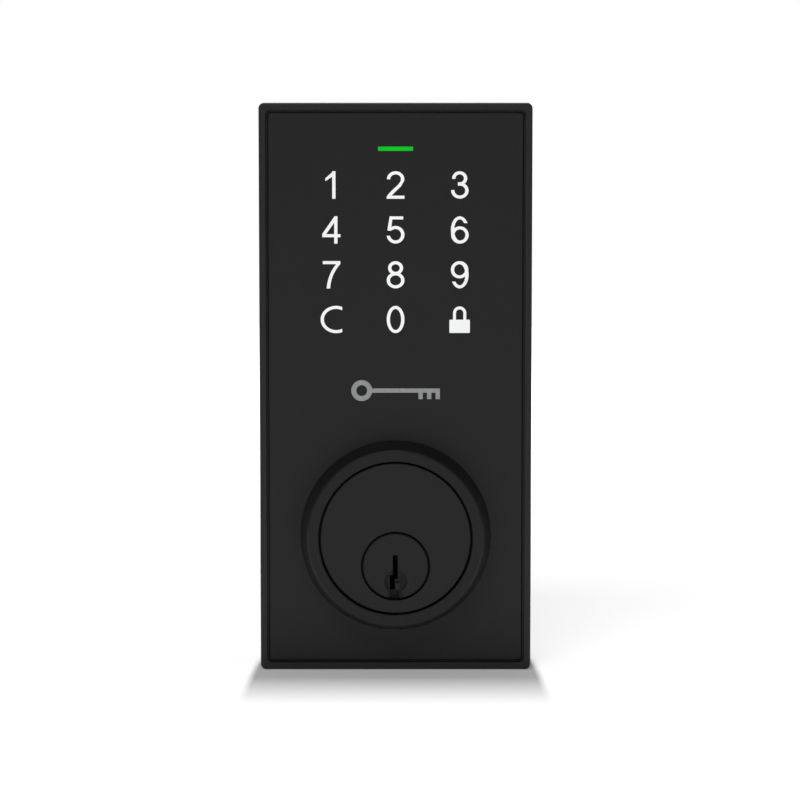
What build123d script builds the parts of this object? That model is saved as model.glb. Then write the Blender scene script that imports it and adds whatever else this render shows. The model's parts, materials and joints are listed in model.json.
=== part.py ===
from build123d import *
from math import cos, radians, sin
import os

# Outside unit of a keypad deadbolt. Millimetres. The origin is the centre of the door's
# crossbore on the door face, +X is to the right seen from outside, the unit's front
# looks along -Y, the door is on the +Y side, and +Z is up.

# ---- Overall sizes ----
BODY_W = 70.0           # width of the shell
BODY_H = 146.0          # height of the shell
BODY_D = 25.0           # door face to the front of the rim
BORE_DROP = 35.0        # crossbore axis above the shell's bottom edge
CORNER_R = 1.5          # shell corners, seen from the front
EDGE_R = 0.6            # rounding of the shell's front edge

# ---- Die-cast shell ----
WALL = 2.0
RIM_SIDE = 1.7          # rim beside the panel
RIM_END = 1.9           # rim above and below the panel
DECK_T = 2.0            # the wall behind the panel
BOSS_R = 2.6            # corner bosses for the back plate's screws
BOSS_INSET = 0.2        # how far a boss stands off from the inner wall
SHELL_BACK_GAP = 0.4    # the shell stops short of the door, so the gasket seals first

# ---- Front panel ----
PANEL_GAP = 0.6         # groove round the panel
PANEL_FIT = 0.1         # panel to the shell, behind the groove
GROOVE_DEPTH = 0.7      # from the panel's face to the ledge in the groove
PANEL_RECESS = 0.3
PANEL_T = 2.0
PANEL_R = 1.0
PANEL_EDGE = 0.25
TAPE_T = 0.3
TAPE_W = 3.0
TAPE_INSET = 0.5        # tape's outer edge inside the panel's
INLAY_T = 0.3           # depth of the legends and the emblem in the panel

# ---- Legends, measured down from the top of the shell ----
LIGHT_DROP = 11.7       # status light bar
LIGHT_W = 8.95
LIGHT_H = 1.07
FIRST_ROW_DROP = 20.9
ROW_PITCH = 11.45
COL_PITCH = 16.45
GLYPH_SCALE = 1.0       # 1 gives figures 7 mm high
STROKE_SIDE = 0.85      # upright strokes of the figures
STROKE_END = 0.78       # level strokes of the figures
EMBLEM_W = 22.8
EMBLEM_H = 5.4
EMBLEM_HOLE_R = 1.4
EMBLEM_BLADE = 1.1      # height of the key's blade
EMBLEM_BIT_W = 1.1
EMBLEM_BIT_PITCH = 2.2
EMBLEM_BIT_DROP = 2.2   # how far the bits hang below the key's axis
EMBLEM_SAG = 2.7        # below the middle between the last row and the collar

# ---- Keypad electronics ----
WINDOW_MARGIN_TOP = 3.6 # deck window above the status light
WINDOW_MARGIN_LOW = 8.7 # deck window below the last row
FILM_T = 0.3
FILM_INSET = 0.2        # film inside the baffle's outline
KEY_WINDOW_W = 8.0      # clear window in the film over each figure
KEY_WINDOW_H = 8.6
KEY_WINDOW_R = 1.0
BAFFLE_T = 3.0
BAFFLE_FIT = 0.3        # gap from the baffle to the deck window
BAFFLE_EDGE = 0.55      # baffle's wall outside the outer columns
COLUMN_WALL = 4.05      # baffle's wall between two columns of light wells
ROW_WALL = 1.6          # baffle's wall between two rows of light wells
WELL_R = 0.8
DIFFUSER_T = 0.8
PIPE_LIP_W = 0.8        # light pipe's lip beside the bar
PIPE_LIP_H = 0.6        # light pipe's lip above and below the bar
PIPE_LIP_T = 0.8
PIPE_FIT = 0.2          # gap round the lip
PIPE_LED_GAP = 0.1
PCB_T = 1.6
PCB_LAP = 3.5           # board beyond the deck window at the sides
PCB_LAP_TOP = 0.8
PCB_LAP_LOW = 1.0
STANDOFF_R = 1.6
STANDOFF_INSET = 2.0    # inside the deck window's upper and lower edges
PCB_SCREW_R = 1.0
PCB_SCREW_FIT = 0.1
PCB_SCREW_LEN = 4.0
PCB_HEAD_R = 1.9
PCB_HEAD_T = 1.2
LED_W = 1.6
LED_H = 0.8
LED_T = 0.6
LED_EDGE = 0.12
STATUS_LED_W = 3.5
STATUS_LED_H = 1.4
STATUS_LED_T = 1.0
CHIP_EDGE = 0.15
SMALL_CHIP_EDGE = 0.1
TOUCH_CHIP = (7.0, 7.0, 0.9)        # width, height and thickness of the touch controller
TOUCH_CHIP_X = -8.0
TOUCH_CHIP_RISE = 3.0               # above the third row
RADIO = (12.0, 15.0, 2.0)
RADIO_X = 9.0
RADIO_DROP = 1.0                    # below the first row
RESISTOR = (1.6, 0.8, 0.8)
CAPACITOR = (1.0, 1.8, 0.7)
CRYSTAL = (3.2, 2.5, 0.9)
CRYSTAL_INSET = 6.0
CRYSTAL_DROP = 2.0
SMALL_PARTS = 6                     # parts in each of the two rows
SMALL_PART_PITCH = 3.2
SMALL_PART_INSET = 5.0
SMALL_PART_RISE = 4.0               # rows stand this far off a row of figures
HEADER = (12.0, 5.6, 6.0)
HEADER_RISE = 3.6                   # above the deck window's lower edge
HEADER_WALL = 0.8
HEADER_FLOOR = 1.2
HEADER_EDGE = 0.3
CONTACTS = 8
CONTACT_PITCH = 1.25
CONTACT_W = 0.4
CONTACT_REACH = 5.0
SOUNDER_R = 6.0
SOUNDER_T = 4.5
SOUNDER_EDGE = 0.4
SOUNDER_PORT_R = 1.1
SOUNDER_PORT_DEPTH = 1.0
SOUNDER_INSET = 9.0                 # inside the deck window's side
SOUNDER_RISE = 4.0                  # above the last row

# ---- Back plate, gasket and mounting posts ----
GASKET_T = 1.5
GASKET_HOLE_R = 25.0
BACK_PLATE_T = 2.0
BACK_FIT = 0.3          # back plate and gasket to the shell's inner wall
PLATE_SCREW_R = 1.25
PLATE_SCREW_LEN = 9.0
PLATE_HEAD_R = 2.4
PLATE_HEAD_T = 1.15
PLATE_CROSS_DEPTH = 0.8
PLATE_SCREW_TIP = 1.0   # a screw ends this far before its hole
PLATE_FIT = 0.5         # back plate round the barrel and the pin tower
POST_SPACING = 38.0     # between the two through-bolt posts
POST_R = 4.0
POST_THREAD_R = 2.1     # tapped M5
POST_REACH = 12.0       # how far the posts stand into the crossbore
POST_FLANGE_R = 6.0
POST_FLANGE_T = 1.5
POST_FIT = 0.05         # back plate round a post
POST_EDGE = 0.5
POST_FLOOR = 2.0        # solid metal in front of the blind thread
CABLE_W = 8.0           # cable slot through the back plate
CABLE_H = 5.0
CABLE_LIP = 1.4
CABLE_LIP_T = 0.8
CABLE_RISE = 4.6        # above the pin tower

# ---- Collar and lock cylinder ----
COLLAR_REACH = 6.0      # in front of the rim
COLLAR_BAND = 2.85      # width of the collar's flat front
COLLAR_FLARE = 2.1      # how much wider the collar is at the panel
COLLAR_EDGE = 0.7
COLLAR_MOUTH_EDGE = 0.2
NECK_STEP = 1.4         # the neck is this much smaller than the collar's base
LIP_STEP = 1.95         # the lip behind the cylinder's disc
NECK_FIT = 0.2
SEAL_W = 0.6
SEAL_T = 0.5
FACE_R = 19.15          # front disc of the cylinder body
FACE_GAP = 0.5          # groove round the disc
FACE_RECESS = 0.2
FACE_T = 3.5
FACE_EDGE = 0.2
PLUG_DROP = 7.1         # plug axis below the crossbore axis
PLUG_R = 6.35
PLUG_FIT = 0.05         # running clearance of the plug
FLANGE_R = 8.35
FLANGE_GAP = 0.5
FLANGE_T = 2.3
FLANGE_FLOAT = 0.1
FLANGE_EDGE = 0.25
DISH_R = 2.9            # round dish about the key slot
DISH_DEPTH = 0.7
BARREL_WALL = 2.6
BARREL_BACK = 1.0       # rear end of the barrel, behind the door face
TOWER_W = 9.0
TOWER_TOP = 12.9
EAR_X = 13.0            # screw bosses on the cylinder body
EAR_Z = 2.0
EAR_R = 3.4
EAR_SCREW_R = 1.65
EAR_SCREW_FIT = 0.2     # deck hole round a cylinder screw
EAR_SCREW_LEN = 6.5
EAR_HEAD_R = 3.3
EAR_HEAD_T = 2.2
GUARD_R = 1.0           # hardened anti-drill pins
GUARD_COVER = 1.0       # metal in front of them
GUARD_PLACES = [(-8.0, 6.0), (8.0, 6.0), (0.0, 15.8)]

# ---- Pins ----
PIN_COUNT = 5
FIRST_PIN = 6.3         # plug face to the first pin
PIN_PITCH = 3.81
PIN_R = 1.46
PIN_FIT = 0.04
PIN_FLOOR = 0.2         # bottom of the plug's pin holes above the plug axis
KEY_PIN_LEN = (3.8, 4.9, 4.4, 5.4, 4.1)
PIN_TIP = 0.9
PIN_TIP_R = 0.55
KEY_PIN_EDGE = 0.15
DRIVER_EDGE = 0.12
PIN_SEAT_FIT = 0.02     # below a key pin at rest
SHEAR_FIT = 0.05        # a driver's foot above the barrel bore
DRIVER_LEN = 4.4
SPRING_R = 1.35
SPRING_BORE_R = 1.0
COVER_T = 0.8
COVER_W = 5.0
COVER_LAP = 2.4         # beyond the first and last pin

# ---- Plug rear end and tailpiece ----
PLUG_STEP = 1.2         # rear end of the plug's full diameter
SPIGOT_R = 6.0
SPIGOT_LEN = 1.8
LUG_R = 5.5
LUG_BORE_R = 2.6
LUG_LEN = 3.0
LUG_HALF_ANGLE = 44.5   # leaves 90 degrees of lost motion each way
LUG_FIT = 0.2           # tailpiece's lug to the plug's rear end
PILOT_R = 2.2
PILOT_SHORT = 0.1       # the pilot ends this far inside the hub
HUB_R = 5.6
HUB_T = 1.35
HUB_FIT = 0.1
CAP_WALL = 1.4
CAP_END_T = 1.2
CAP_END_FIT = 0.15
CAP_HOLE_R = 4.2
CAP_EDGE = 0.4
BLADE_W = 6.3
BLADE_T = 2.0
BLADE_END = 58.0        # rear end of the blade, behind the door face
BLADE_SCORE_PITCH = 6.0
BLADE_SCORE = 0.35
BLADE_EDGE = 0.6

# ---- Screw heads ----
CROSS_SHARE = 1.1       # width of the cross slot to the head's radius
CROSS_DEPTH_SHARE = 0.6
HEAD_ROUND_SHARE = 0.4

# ---- Places worked out from the sizes ----
Z_BOTTOM = -BORE_DROP
Z_TOP = BODY_H - BORE_DROP
Z_MID = (Z_TOP + Z_BOTTOM) / 2
Y_RIM = -BODY_D
Y_PANEL = Y_RIM + PANEL_RECESS
Y_PANEL_BACK = Y_PANEL + PANEL_T
Y_DECK = Y_PANEL_BACK + TAPE_T
Y_DECK_BACK = Y_DECK + DECK_T
Y_FILM_BACK = Y_PANEL_BACK + FILM_T
Y_PCB = Y_FILM_BACK + BAFFLE_T
Y_PCB_BACK = Y_PCB + PCB_T
Y_SHELL_BACK = -SHELL_BACK_GAP
Y_GASKET = -GASKET_T
Y_PLATE = Y_GASKET - BACK_PLATE_T
Y_COLLAR = Y_RIM - COLLAR_REACH
Y_FACE = Y_COLLAR + FACE_RECESS
Y_FACE_BACK = Y_FACE + FACE_T
Y_SHOULDER = Y_FACE + FLANGE_T + FLANGE_FLOAT
Y_SPIGOT = PLUG_STEP + SPIGOT_LEN
Y_HUB = Y_SPIGOT + LUG_LEN + HUB_FIT
Y_CAP_END = Y_HUB + HUB_T + CAP_END_FIT

COLLAR_BORE_R = FACE_R + FACE_GAP
COLLAR_FRONT_R = COLLAR_BORE_R + COLLAR_BAND
COLLAR_BASE_R = COLLAR_FRONT_R + COLLAR_FLARE
COLLAR_NECK_R = COLLAR_BASE_R - NECK_STEP
COLLAR_LIP_R = FACE_R - LIP_STEP

PANEL_W = BODY_W - 2 * (RIM_SIDE + PANEL_GAP)
PANEL_H = BODY_H - 2 * (RIM_END + PANEL_GAP)
CAVITY_W = BODY_W - 2 * WALL
CAVITY_H = BODY_H - 2 * WALL

Z_LIGHT = Z_TOP - LIGHT_DROP
ROW_Z = [Z_TOP - FIRST_ROW_DROP - row * ROW_PITCH for row in range(4)]
COL_X = [-COL_PITCH, 0.0, COL_PITCH]
Z_EMBLEM = (ROW_Z[-1] + COLLAR_BASE_R) / 2 - EMBLEM_SAG

WELL_W = COL_PITCH - COLUMN_WALL
WELL_H = ROW_PITCH - ROW_WALL
WELLS = [(x, z) for z in ROW_Z for x in COL_X]
WINDOW_X = COL_PITCH + WELL_W / 2 + BAFFLE_EDGE + BAFFLE_FIT
WINDOW_TOP = Z_LIGHT + WINDOW_MARGIN_TOP
WINDOW_LOW = ROW_Z[-1] - WINDOW_MARGIN_LOW
PCB_X = WINDOW_X + PCB_LAP
STANDOFF_X = WINDOW_X + PCB_LAP / 2
STANDOFF_Z = (WINDOW_LOW + STANDOFF_INSET, WINDOW_TOP - STANDOFF_INSET)

BOSS_X = CAVITY_W / 2 - BOSS_R + BOSS_INSET
BOSS_Z = CAVITY_H / 2 - BOSS_R + BOSS_INSET
BOSSES = [(sx * BOSS_X, Z_MID + sz * BOSS_Z) for sx in (-1, 1) for sz in (-1, 1)]
POSTS = [(-POST_SPACING / 2, 0.0), (POST_SPACING / 2, 0.0)]
EARS = [(-EAR_X, EAR_Z), (EAR_X, EAR_Z)]
CABLE_Z = TOWER_TOP + CABLE_RISE + CABLE_H / 2

Z_PLUG = -PLUG_DROP
BORE_R = PLUG_R + PLUG_FIT
BARREL_R = BORE_R + BARREL_WALL
CHAMBER_R = PIN_R + PIN_FIT
PIN_Y = [Y_FACE + FIRST_PIN + number * PIN_PITCH for number in range(PIN_COUNT)]
Z_KEY_PIN = Z_PLUG + PIN_FLOOR
Z_DRIVER = Z_PLUG + BORE_R + SHEAR_FIT
Z_COVER = TOWER_TOP - COVER_T

PIPE_SLOT_W = LIGHT_W + 2 * (PIPE_LIP_W + PIPE_FIT)
PIPE_SLOT_H = LIGHT_H + 2 * (PIPE_LIP_H + PIPE_FIT)

AT_MIDDLE = Pos(0, Z_MID)


# ---- Shapes shared by several pieces ----
def prism(sketch, y_front, y_back):
    """A sketch drawn in X and Z, made solid from y_front to y_back."""
    return extrude(Plane.XZ.offset(-y_back) * sketch, y_back - y_front)


def disc(radius, y_front, y_back, x=0.0, z=0.0):
    return prism(Pos(x, z) * Circle(radius), y_front, y_back)


def patch(x_low, x_high, z_low, z_high):
    middle = Pos((x_low + x_high) / 2, (z_low + z_high) / 2)
    return middle * Rectangle(x_high - x_low, z_high - z_low)


def slab(x_low, x_high, y_front, y_back, z_low, z_high):
    return prism(patch(x_low, x_high, z_low, z_high), y_front, y_back)


def outline(*points):
    return make_face(Polyline(*points, close=True))


def turned(*points):
    """A ring about the crossbore axis from an outline of (radius, y) points."""
    return revolve(outline(*points), Axis.Y)


def upright(radius, z_low, z_high, y, x=0.0):
    """A round piece that stands along Z."""
    return extrude(Pos(x, y, z_low) * Circle(radius), z_high - z_low)


def sector(radius, inner, middle_angle, half_angle, y_front, y_back):
    """Part of a ring about the plug axis, between two angles seen from the front."""
    reach = radius * 3
    rays = [middle_angle - half_angle, middle_angle, middle_angle + half_angle]
    tips = [(reach * cos(radians(a)), reach * sin(radians(a))) for a in rays]
    wedge = outline((0, 0), *tips)
    return prism(Pos(0, Z_PLUG) * ((Circle(radius) - Circle(inner)) & wedge), y_front, y_back)


def cross_recess(width, depth, y_head, x, z):
    """Cutter for the cross slot of a screw whose head faces the door."""
    arm = width / 4
    across = slab(x - width / 2, x + width / 2, y_head - depth, y_head, z - arm / 2, z + arm / 2)
    up = slab(x - arm / 2, x + arm / 2, y_head - depth, y_head, z - width / 2, z + width / 2)
    return across + up


def pan_screw(x, z, y_seat, head_r, head_t, shank_r, length):
    """A screw put in from the door side: its head sits behind y_seat."""
    head = disc(head_r, y_seat, y_seat + head_t, x, z)
    head = fillet(head.edges().group_by(Axis.Y)[-1], head_t * HEAD_ROUND_SHARE)
    shank = disc(shank_r, y_seat - length, y_seat, x, z)
    cross = cross_recess(head_r * CROSS_SHARE, head_t * CROSS_DEPTH_SHARE, y_seat + head_t, x, z)
    return head + shank - cross


def countersunk_head(x, z, y_back):
    """The cone of a flat-headed screw, its wide end at y_back."""
    cone = Cone(PLATE_HEAD_R, PLATE_SCREW_R, PLATE_HEAD_T)
    return Pos(x, y_back - PLATE_HEAD_T / 2, z) * (Rot(90, 0, 0) * cone)


def group(shapes):
    """Like pieces that share one node, each still its own solid."""
    return Compound([solid for shape in shapes for solid in shape.solids()])


def save(name, shape):
    export_step(shape, f"parts/{name}.step")


# ---- Figures of the keypad, drawn about their own centre, 7 mm high ----
def oval(x, z, half_w, half_h):
    return Pos(x, z) * Ellipse(half_w, half_h)


def loop(x, z, half_w, half_h):
    """A closed oval stroke."""
    return oval(x, z, half_w, half_h) - oval(x, z, half_w - STROKE_SIDE, half_h - STROKE_END)


def figure_0():
    return loop(0, 0, 2.28, 3.48)


def figure_1():
    flag = outline((0.6, 3.5), (1.1, 3.5), (1.1, 2.65), (0.25, 2.1), (-1.5, 0.95), (-1.5, 1.7))
    return patch(1.1 - STROKE_SIDE, 1.1, -3.5, 3.5) + flag


def figure_2():
    bowl = loop(0.02, 1.5, 2.22, 1.98) - patch(-3, 0.2, -1, 1.45) - patch(0, 3, -1, 0.9)
    sweep = outline(
        (2.12, 0.9), (1.3, 0.9), (0.6, 0.0), (-0.95, -1.4), (-1.85, -2.35), (-2.28, -3.05),
        (-2.28, -3.5), (2.28, -3.5), (2.28, -2.72), (-1.0, -2.72), (-0.15, -1.8), (1.3, -0.45),
    )
    return bowl + sweep


def figure_3():
    bowls = loop(-0.05, 1.68, 1.93, 1.8) + loop(0.0, -1.42, 2.23, 2.05)
    return bowls - patch(-3, -0.5, -1.3, 1.55)


def figure_4():
    frame = outline(
        (1.58, 3.5), (0.85, 3.5), (-2.32, -1.02), (-2.32, -1.85), (0.73, -1.85), (0.73, -3.5),
        (1.58, -3.5), (1.58, -1.85), (2.35, -1.85), (2.35, -1.08), (1.58, -1.08),
    )
    return frame - outline((0.73, -1.08), (-1.32, -1.08), (0.73, 1.85))


def figure_5():
    bowl = loop(0.0, -1.22, 2.28, 2.24) - patch(-3, -0.9, -1.5, 2)
    stem = outline(
        (-1.5, 3.45), (1.95, 3.45), (1.95, 2.68), (-0.82, 2.68), (-1.08, 0.72), (-0.6, 0.93),
        (-0.6, 0.1), (-0.95, 0.0), (-1.3, -0.25), (-2.1, -0.1),
    )
    return bowl + stem


def figure_6():
    arch = figure_0() - patch(0, 3, -4, 1.75)
    return arch + loop(0.03, -1.28, 2.25, 2.2)


def figure_7():
    bar = patch(-2.2, 2.3, 3.5 - STROKE_END, 3.5)
    right = ThreePointArc((2.3, 2.75), (0.4, -0.2), (-0.32, -3.5))
    left = ThreePointArc((-1.22, -3.5), (-0.5, -0.25), (1.25, 2.75))
    leg = make_face([right, Line((-0.32, -3.5), (-1.22, -3.5)), left, Line((1.25, 2.75), (2.3, 2.75))])
    return bar + leg


def figure_8():
    return loop(0, 1.72, 1.92, 1.75) + loop(0, -1.42, 2.28, 2.05)


def figure_9():
    return Rot(0, 0, 180) * figure_6()


def letter_c():
    return loop(1.2, 0, 4.0, 3.5) - patch(2.75, 6, -4, 4)


def padlock():
    body = Pos(0, -1.75) * RectangleRounded(5.25, 3.4, 0.2)
    shackle = Pos(0, 1.65) * (Circle(1.7) - Circle(0.95))
    legs = patch(-1.7, -0.95, -0.1, 1.65) + patch(0.95, 1.7, -0.1, 1.65)
    return body + (shackle & patch(-3, 3, 1.65, 4)) + legs


def key_emblem():
    """A plain key lying on its side: bow at the left, bits under the blade's end."""
    bow_r = EMBLEM_H / 2
    left = -EMBLEM_W / 2 + bow_r
    right = EMBLEM_W / 2
    key = Pos(left, 0) * (Circle(bow_r) - Circle(EMBLEM_HOLE_R))
    key += patch(left + (bow_r + EMBLEM_HOLE_R) / 2, right, -EMBLEM_BLADE / 2, EMBLEM_BLADE / 2)
    for step in range(3):
        bit_end = right - step * EMBLEM_BIT_PITCH
        key += patch(bit_end - EMBLEM_BIT_W, bit_end, -EMBLEM_BIT_DROP, 0)
    return key


KEYPAD = [
    [figure_1, figure_2, figure_3],
    [figure_4, figure_5, figure_6],
    [figure_7, figure_8, figure_9],
    [letter_c, figure_0, padlock],
]


# ---- Shell, panel and what lies in the panel ----
def panel_outline(grow):
    return RectangleRounded(PANEL_W + 2 * grow, PANEL_H + 2 * grow, PANEL_R + grow / 2)


def make_housing():
    shell = prism(AT_MIDDLE * RectangleRounded(BODY_W, BODY_H, CORNER_R), Y_RIM, Y_SHELL_BACK)
    shell = fillet(shell.edges().group_by(Axis.Y)[0], EDGE_R)
    shell -= prism(AT_MIDDLE * panel_outline(PANEL_GAP), Y_RIM, Y_PANEL + GROOVE_DEPTH)
    shell -= prism(AT_MIDDLE * panel_outline(PANEL_FIT), Y_PANEL, Y_DECK)
    shell -= prism(AT_MIDDLE * Rectangle(CAVITY_W, CAVITY_H), Y_DECK_BACK, Y_SHELL_BACK)
    for x, z in BOSSES:
        shell += disc(BOSS_R, Y_DECK_BACK, Y_PLATE, x, z)
        shell -= disc(PLATE_SCREW_R, Y_PLATE - PLATE_SCREW_LEN, Y_PLATE, x, z)
    shell -= slab(-WINDOW_X, WINDOW_X, Y_DECK, Y_DECK_BACK, WINDOW_LOW, WINDOW_TOP)
    for x in (-STANDOFF_X, STANDOFF_X):
        for z in STANDOFF_Z:
            shell += disc(STANDOFF_R, Y_DECK_BACK, Y_PCB, x, z)
            shell -= disc(PCB_SCREW_R, Y_DECK, Y_PCB, x, z)
    shell -= prism(cylinder_outline(BACK_FIT), Y_DECK, Y_DECK_BACK)
    for x, z in EARS:
        shell -= disc(EAR_SCREW_R + EAR_SCREW_FIT, Y_DECK, Y_DECK_BACK, x, z)
    return shell


def legend_solids():
    glyphs = []
    for z, row in zip(ROW_Z, KEYPAD):
        for x, figure in zip(COL_X, row):
            sketch = Pos(x, z) * scale(figure(), GLYPH_SCALE)
            glyphs.append(prism(sketch, Y_PANEL, Y_PANEL + INLAY_T))
    return glyphs


def emblem_solid():
    return prism(Pos(0, Z_EMBLEM) * key_emblem(), Y_PANEL, Y_PANEL + INLAY_T)


def make_panel(legends, emblem):
    panel = prism(AT_MIDDLE * panel_outline(0), Y_PANEL, Y_PANEL_BACK)
    panel = chamfer(panel.edges().group_by(Axis.Y)[0], PANEL_EDGE)
    panel -= disc(COLLAR_NECK_R + NECK_FIT, Y_PANEL, Y_PANEL_BACK)
    panel -= slab(
        -LIGHT_W / 2, LIGHT_W / 2, Y_PANEL, Y_PANEL_BACK, Z_LIGHT - LIGHT_H / 2, Z_LIGHT + LIGHT_H / 2
    )
    for solid in legends:
        panel -= solid
    return panel - emblem


def make_tape():
    outer = Rectangle(PANEL_W - 2 * TAPE_INSET, PANEL_H - 2 * TAPE_INSET)
    inner = Rectangle(PANEL_W - 2 * TAPE_W, PANEL_H - 2 * TAPE_W)
    return prism(AT_MIDDLE * (outer - inner), Y_PANEL_BACK, Y_DECK)


def make_light_pipe():
    bar = slab(
        -LIGHT_W / 2, LIGHT_W / 2, Y_PANEL, Y_PCB - STATUS_LED_T - PIPE_LED_GAP,
        Z_LIGHT - LIGHT_H / 2, Z_LIGHT + LIGHT_H / 2,
    )
    half_w, half_h = LIGHT_W / 2 + PIPE_LIP_W, LIGHT_H / 2 + PIPE_LIP_H
    y_lip = Y_FILM_BACK + PIPE_LIP_T
    return bar + slab(-half_w, half_w, Y_FILM_BACK, y_lip, Z_LIGHT - half_h, Z_LIGHT + half_h)


# ---- Keypad electronics ----
def pipe_slot(y_front, y_back):
    return slab(
        -PIPE_SLOT_W / 2, PIPE_SLOT_W / 2, y_front, y_back,
        Z_LIGHT - PIPE_SLOT_H / 2, Z_LIGHT + PIPE_SLOT_H / 2,
    )


def make_touch_film():
    edge = BAFFLE_FIT + FILM_INSET
    key_window = RectangleRounded(KEY_WINDOW_W, KEY_WINDOW_H, KEY_WINDOW_R)
    film = slab(
        -WINDOW_X + edge, WINDOW_X - edge, Y_PANEL_BACK, Y_FILM_BACK, WINDOW_LOW + edge, WINDOW_TOP - edge
    )
    for x, z in WELLS:
        film -= prism(Pos(x, z) * key_window, Y_PANEL_BACK, Y_FILM_BACK)
    return film - pipe_slot(Y_PANEL_BACK, Y_FILM_BACK)


def make_baffle():
    block = slab(
        -WINDOW_X + BAFFLE_FIT, WINDOW_X - BAFFLE_FIT, Y_FILM_BACK, Y_PCB,
        WINDOW_LOW + BAFFLE_FIT, WINDOW_TOP - BAFFLE_FIT,
    )
    for x, z in WELLS:
        block -= prism(Pos(x, z) * RectangleRounded(WELL_W, WELL_H, WELL_R), Y_FILM_BACK, Y_PCB)
    return block - pipe_slot(Y_FILM_BACK, Y_PCB)


def make_diffusers():
    plate = RectangleRounded(WELL_W, WELL_H, WELL_R)
    return group([prism(Pos(x, z) * plate, Y_FILM_BACK, Y_FILM_BACK + DIFFUSER_T) for x, z in WELLS])


def make_pcb():
    board = slab(-PCB_X, PCB_X, Y_PCB, Y_PCB_BACK, WINDOW_LOW - PCB_LAP_LOW, WINDOW_TOP + PCB_LAP_TOP)
    for x in (-STANDOFF_X, STANDOFF_X):
        for z in STANDOFF_Z:
            board -= disc(PCB_SCREW_R + PCB_SCREW_FIT, Y_PCB, Y_PCB_BACK, x, z)
    return board


def led(x, z, width, height, thick):
    body = slab(x - width / 2, x + width / 2, Y_PCB - thick, Y_PCB, z - height / 2, z + height / 2)
    return chamfer(body.edges().group_by(Axis.Y)[0], LED_EDGE)


def chip(x, z, sizes, edge=CHIP_EDGE):
    """A square package of this width, height and thickness on the board's rear face."""
    width, height, thick = sizes
    body = slab(
        x - width / 2, x + width / 2, Y_PCB_BACK, Y_PCB_BACK + thick, z - height / 2, z + height / 2
    )
    return chamfer(body.edges().group_by(Axis.Y)[-1], edge)


def make_harness_header():
    """An open box header with one row of contacts."""
    z = WINDOW_LOW + HEADER_RISE
    half_w, half_h = HEADER[0] / 2 - HEADER_WALL, HEADER[1] / 2 - HEADER_WALL * 2
    y_floor = Y_PCB_BACK + HEADER_FLOOR
    body = chip(0, z, HEADER, HEADER_EDGE)
    body -= slab(-half_w, half_w, y_floor, Y_PCB_BACK + HEADER[2], z - half_h, z + half_h)
    half = CONTACT_W / 2
    for contact in range(CONTACTS):
        x = (contact - (CONTACTS - 1) / 2) * CONTACT_PITCH
        body += slab(x - half, x + half, y_floor, Y_PCB_BACK + CONTACT_REACH, z - half, z + half)
    return body


def make_sounder():
    x, z, y_top = WINDOW_X - SOUNDER_INSET, ROW_Z[-1] + SOUNDER_RISE, Y_PCB_BACK + SOUNDER_T
    body = disc(SOUNDER_R, Y_PCB_BACK, y_top, x, z)
    body = fillet(body.edges().group_by(Axis.Y)[-1], SOUNDER_EDGE)
    return body - disc(SOUNDER_PORT_R, y_top - SOUNDER_PORT_DEPTH, y_top, x, z)


def make_board_parts():
    pieces = []
    for column in range(SMALL_PARTS):
        x = -WINDOW_X + SMALL_PART_INSET + column * SMALL_PART_PITCH
        pieces.append(chip(x, ROW_Z[1] + SMALL_PART_RISE, RESISTOR, SMALL_CHIP_EDGE))
        pieces.append(chip(x, ROW_Z[2] - SMALL_PART_RISE, CAPACITOR, SMALL_CHIP_EDGE))
    pieces.append(chip(WINDOW_X - CRYSTAL_INSET, ROW_Z[1] - CRYSTAL_DROP, CRYSTAL))
    return group(pieces)


def make_board_screws():
    return group([
        pan_screw(x, z, Y_PCB_BACK, PCB_HEAD_R, PCB_HEAD_T, PCB_SCREW_R, PCB_SCREW_LEN)
        for x in (-STANDOFF_X, STANDOFF_X) for z in STANDOFF_Z
    ])


# ---- Back plate, gasket and mounting ----
def cylinder_outline(clearance):
    """The barrel with its pin tower, seen from the front."""
    barrel = Pos(0, Z_PLUG) * Circle(BARREL_R + clearance)
    tower = patch(-TOWER_W / 2 - clearance, TOWER_W / 2 + clearance, Z_PLUG, TOWER_TOP + clearance)
    return barrel + tower


def cable_slot(grow):
    return Pos(0, CABLE_Z) * SlotOverall(CABLE_W + 2 * grow, CABLE_H + 2 * grow)


def make_back_plate():
    sheet = Rectangle(CAVITY_W - 2 * BACK_FIT, CAVITY_H - 2 * BACK_FIT)
    plate = prism(AT_MIDDLE * sheet, Y_PLATE, Y_GASKET)
    plate -= prism(cylinder_outline(PLATE_FIT), Y_PLATE, Y_GASKET)
    plate -= prism(cable_slot(CABLE_LIP / 2), Y_PLATE, Y_GASKET)
    for x, z in POSTS:
        plate -= disc(POST_R + POST_FIT, Y_PLATE, Y_GASKET, x, z)
    for x, z in BOSSES:
        plate -= disc(PLATE_SCREW_R, Y_PLATE, Y_GASKET, x, z)
        plate -= countersunk_head(x, z, Y_GASKET)
    return plate


def make_plate_screws():
    screws = []
    y_tip = Y_PLATE - PLATE_SCREW_LEN + PLATE_SCREW_TIP
    for x, z in BOSSES:
        screw = disc(PLATE_SCREW_R, y_tip, Y_GASKET - PLATE_HEAD_T, x, z)
        screw += countersunk_head(x, z, Y_GASKET)
        screws.append(screw - cross_recess(PLATE_HEAD_R * CROSS_SHARE, PLATE_CROSS_DEPTH, Y_GASKET, x, z))
    return group(screws)


def make_gasket():
    sheet = RectangleRounded(CAVITY_W - 2 * BACK_FIT, CAVITY_H - 2 * BACK_FIT, CORNER_R)
    gasket = prism(AT_MIDDLE * sheet, Y_GASKET, 0) - disc(GASKET_HOLE_R, Y_GASKET, 0)
    for x, z in POSTS:
        gasket -= disc(POST_R + BACK_FIT, Y_GASKET, 0, x, z)
    return gasket


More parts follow.
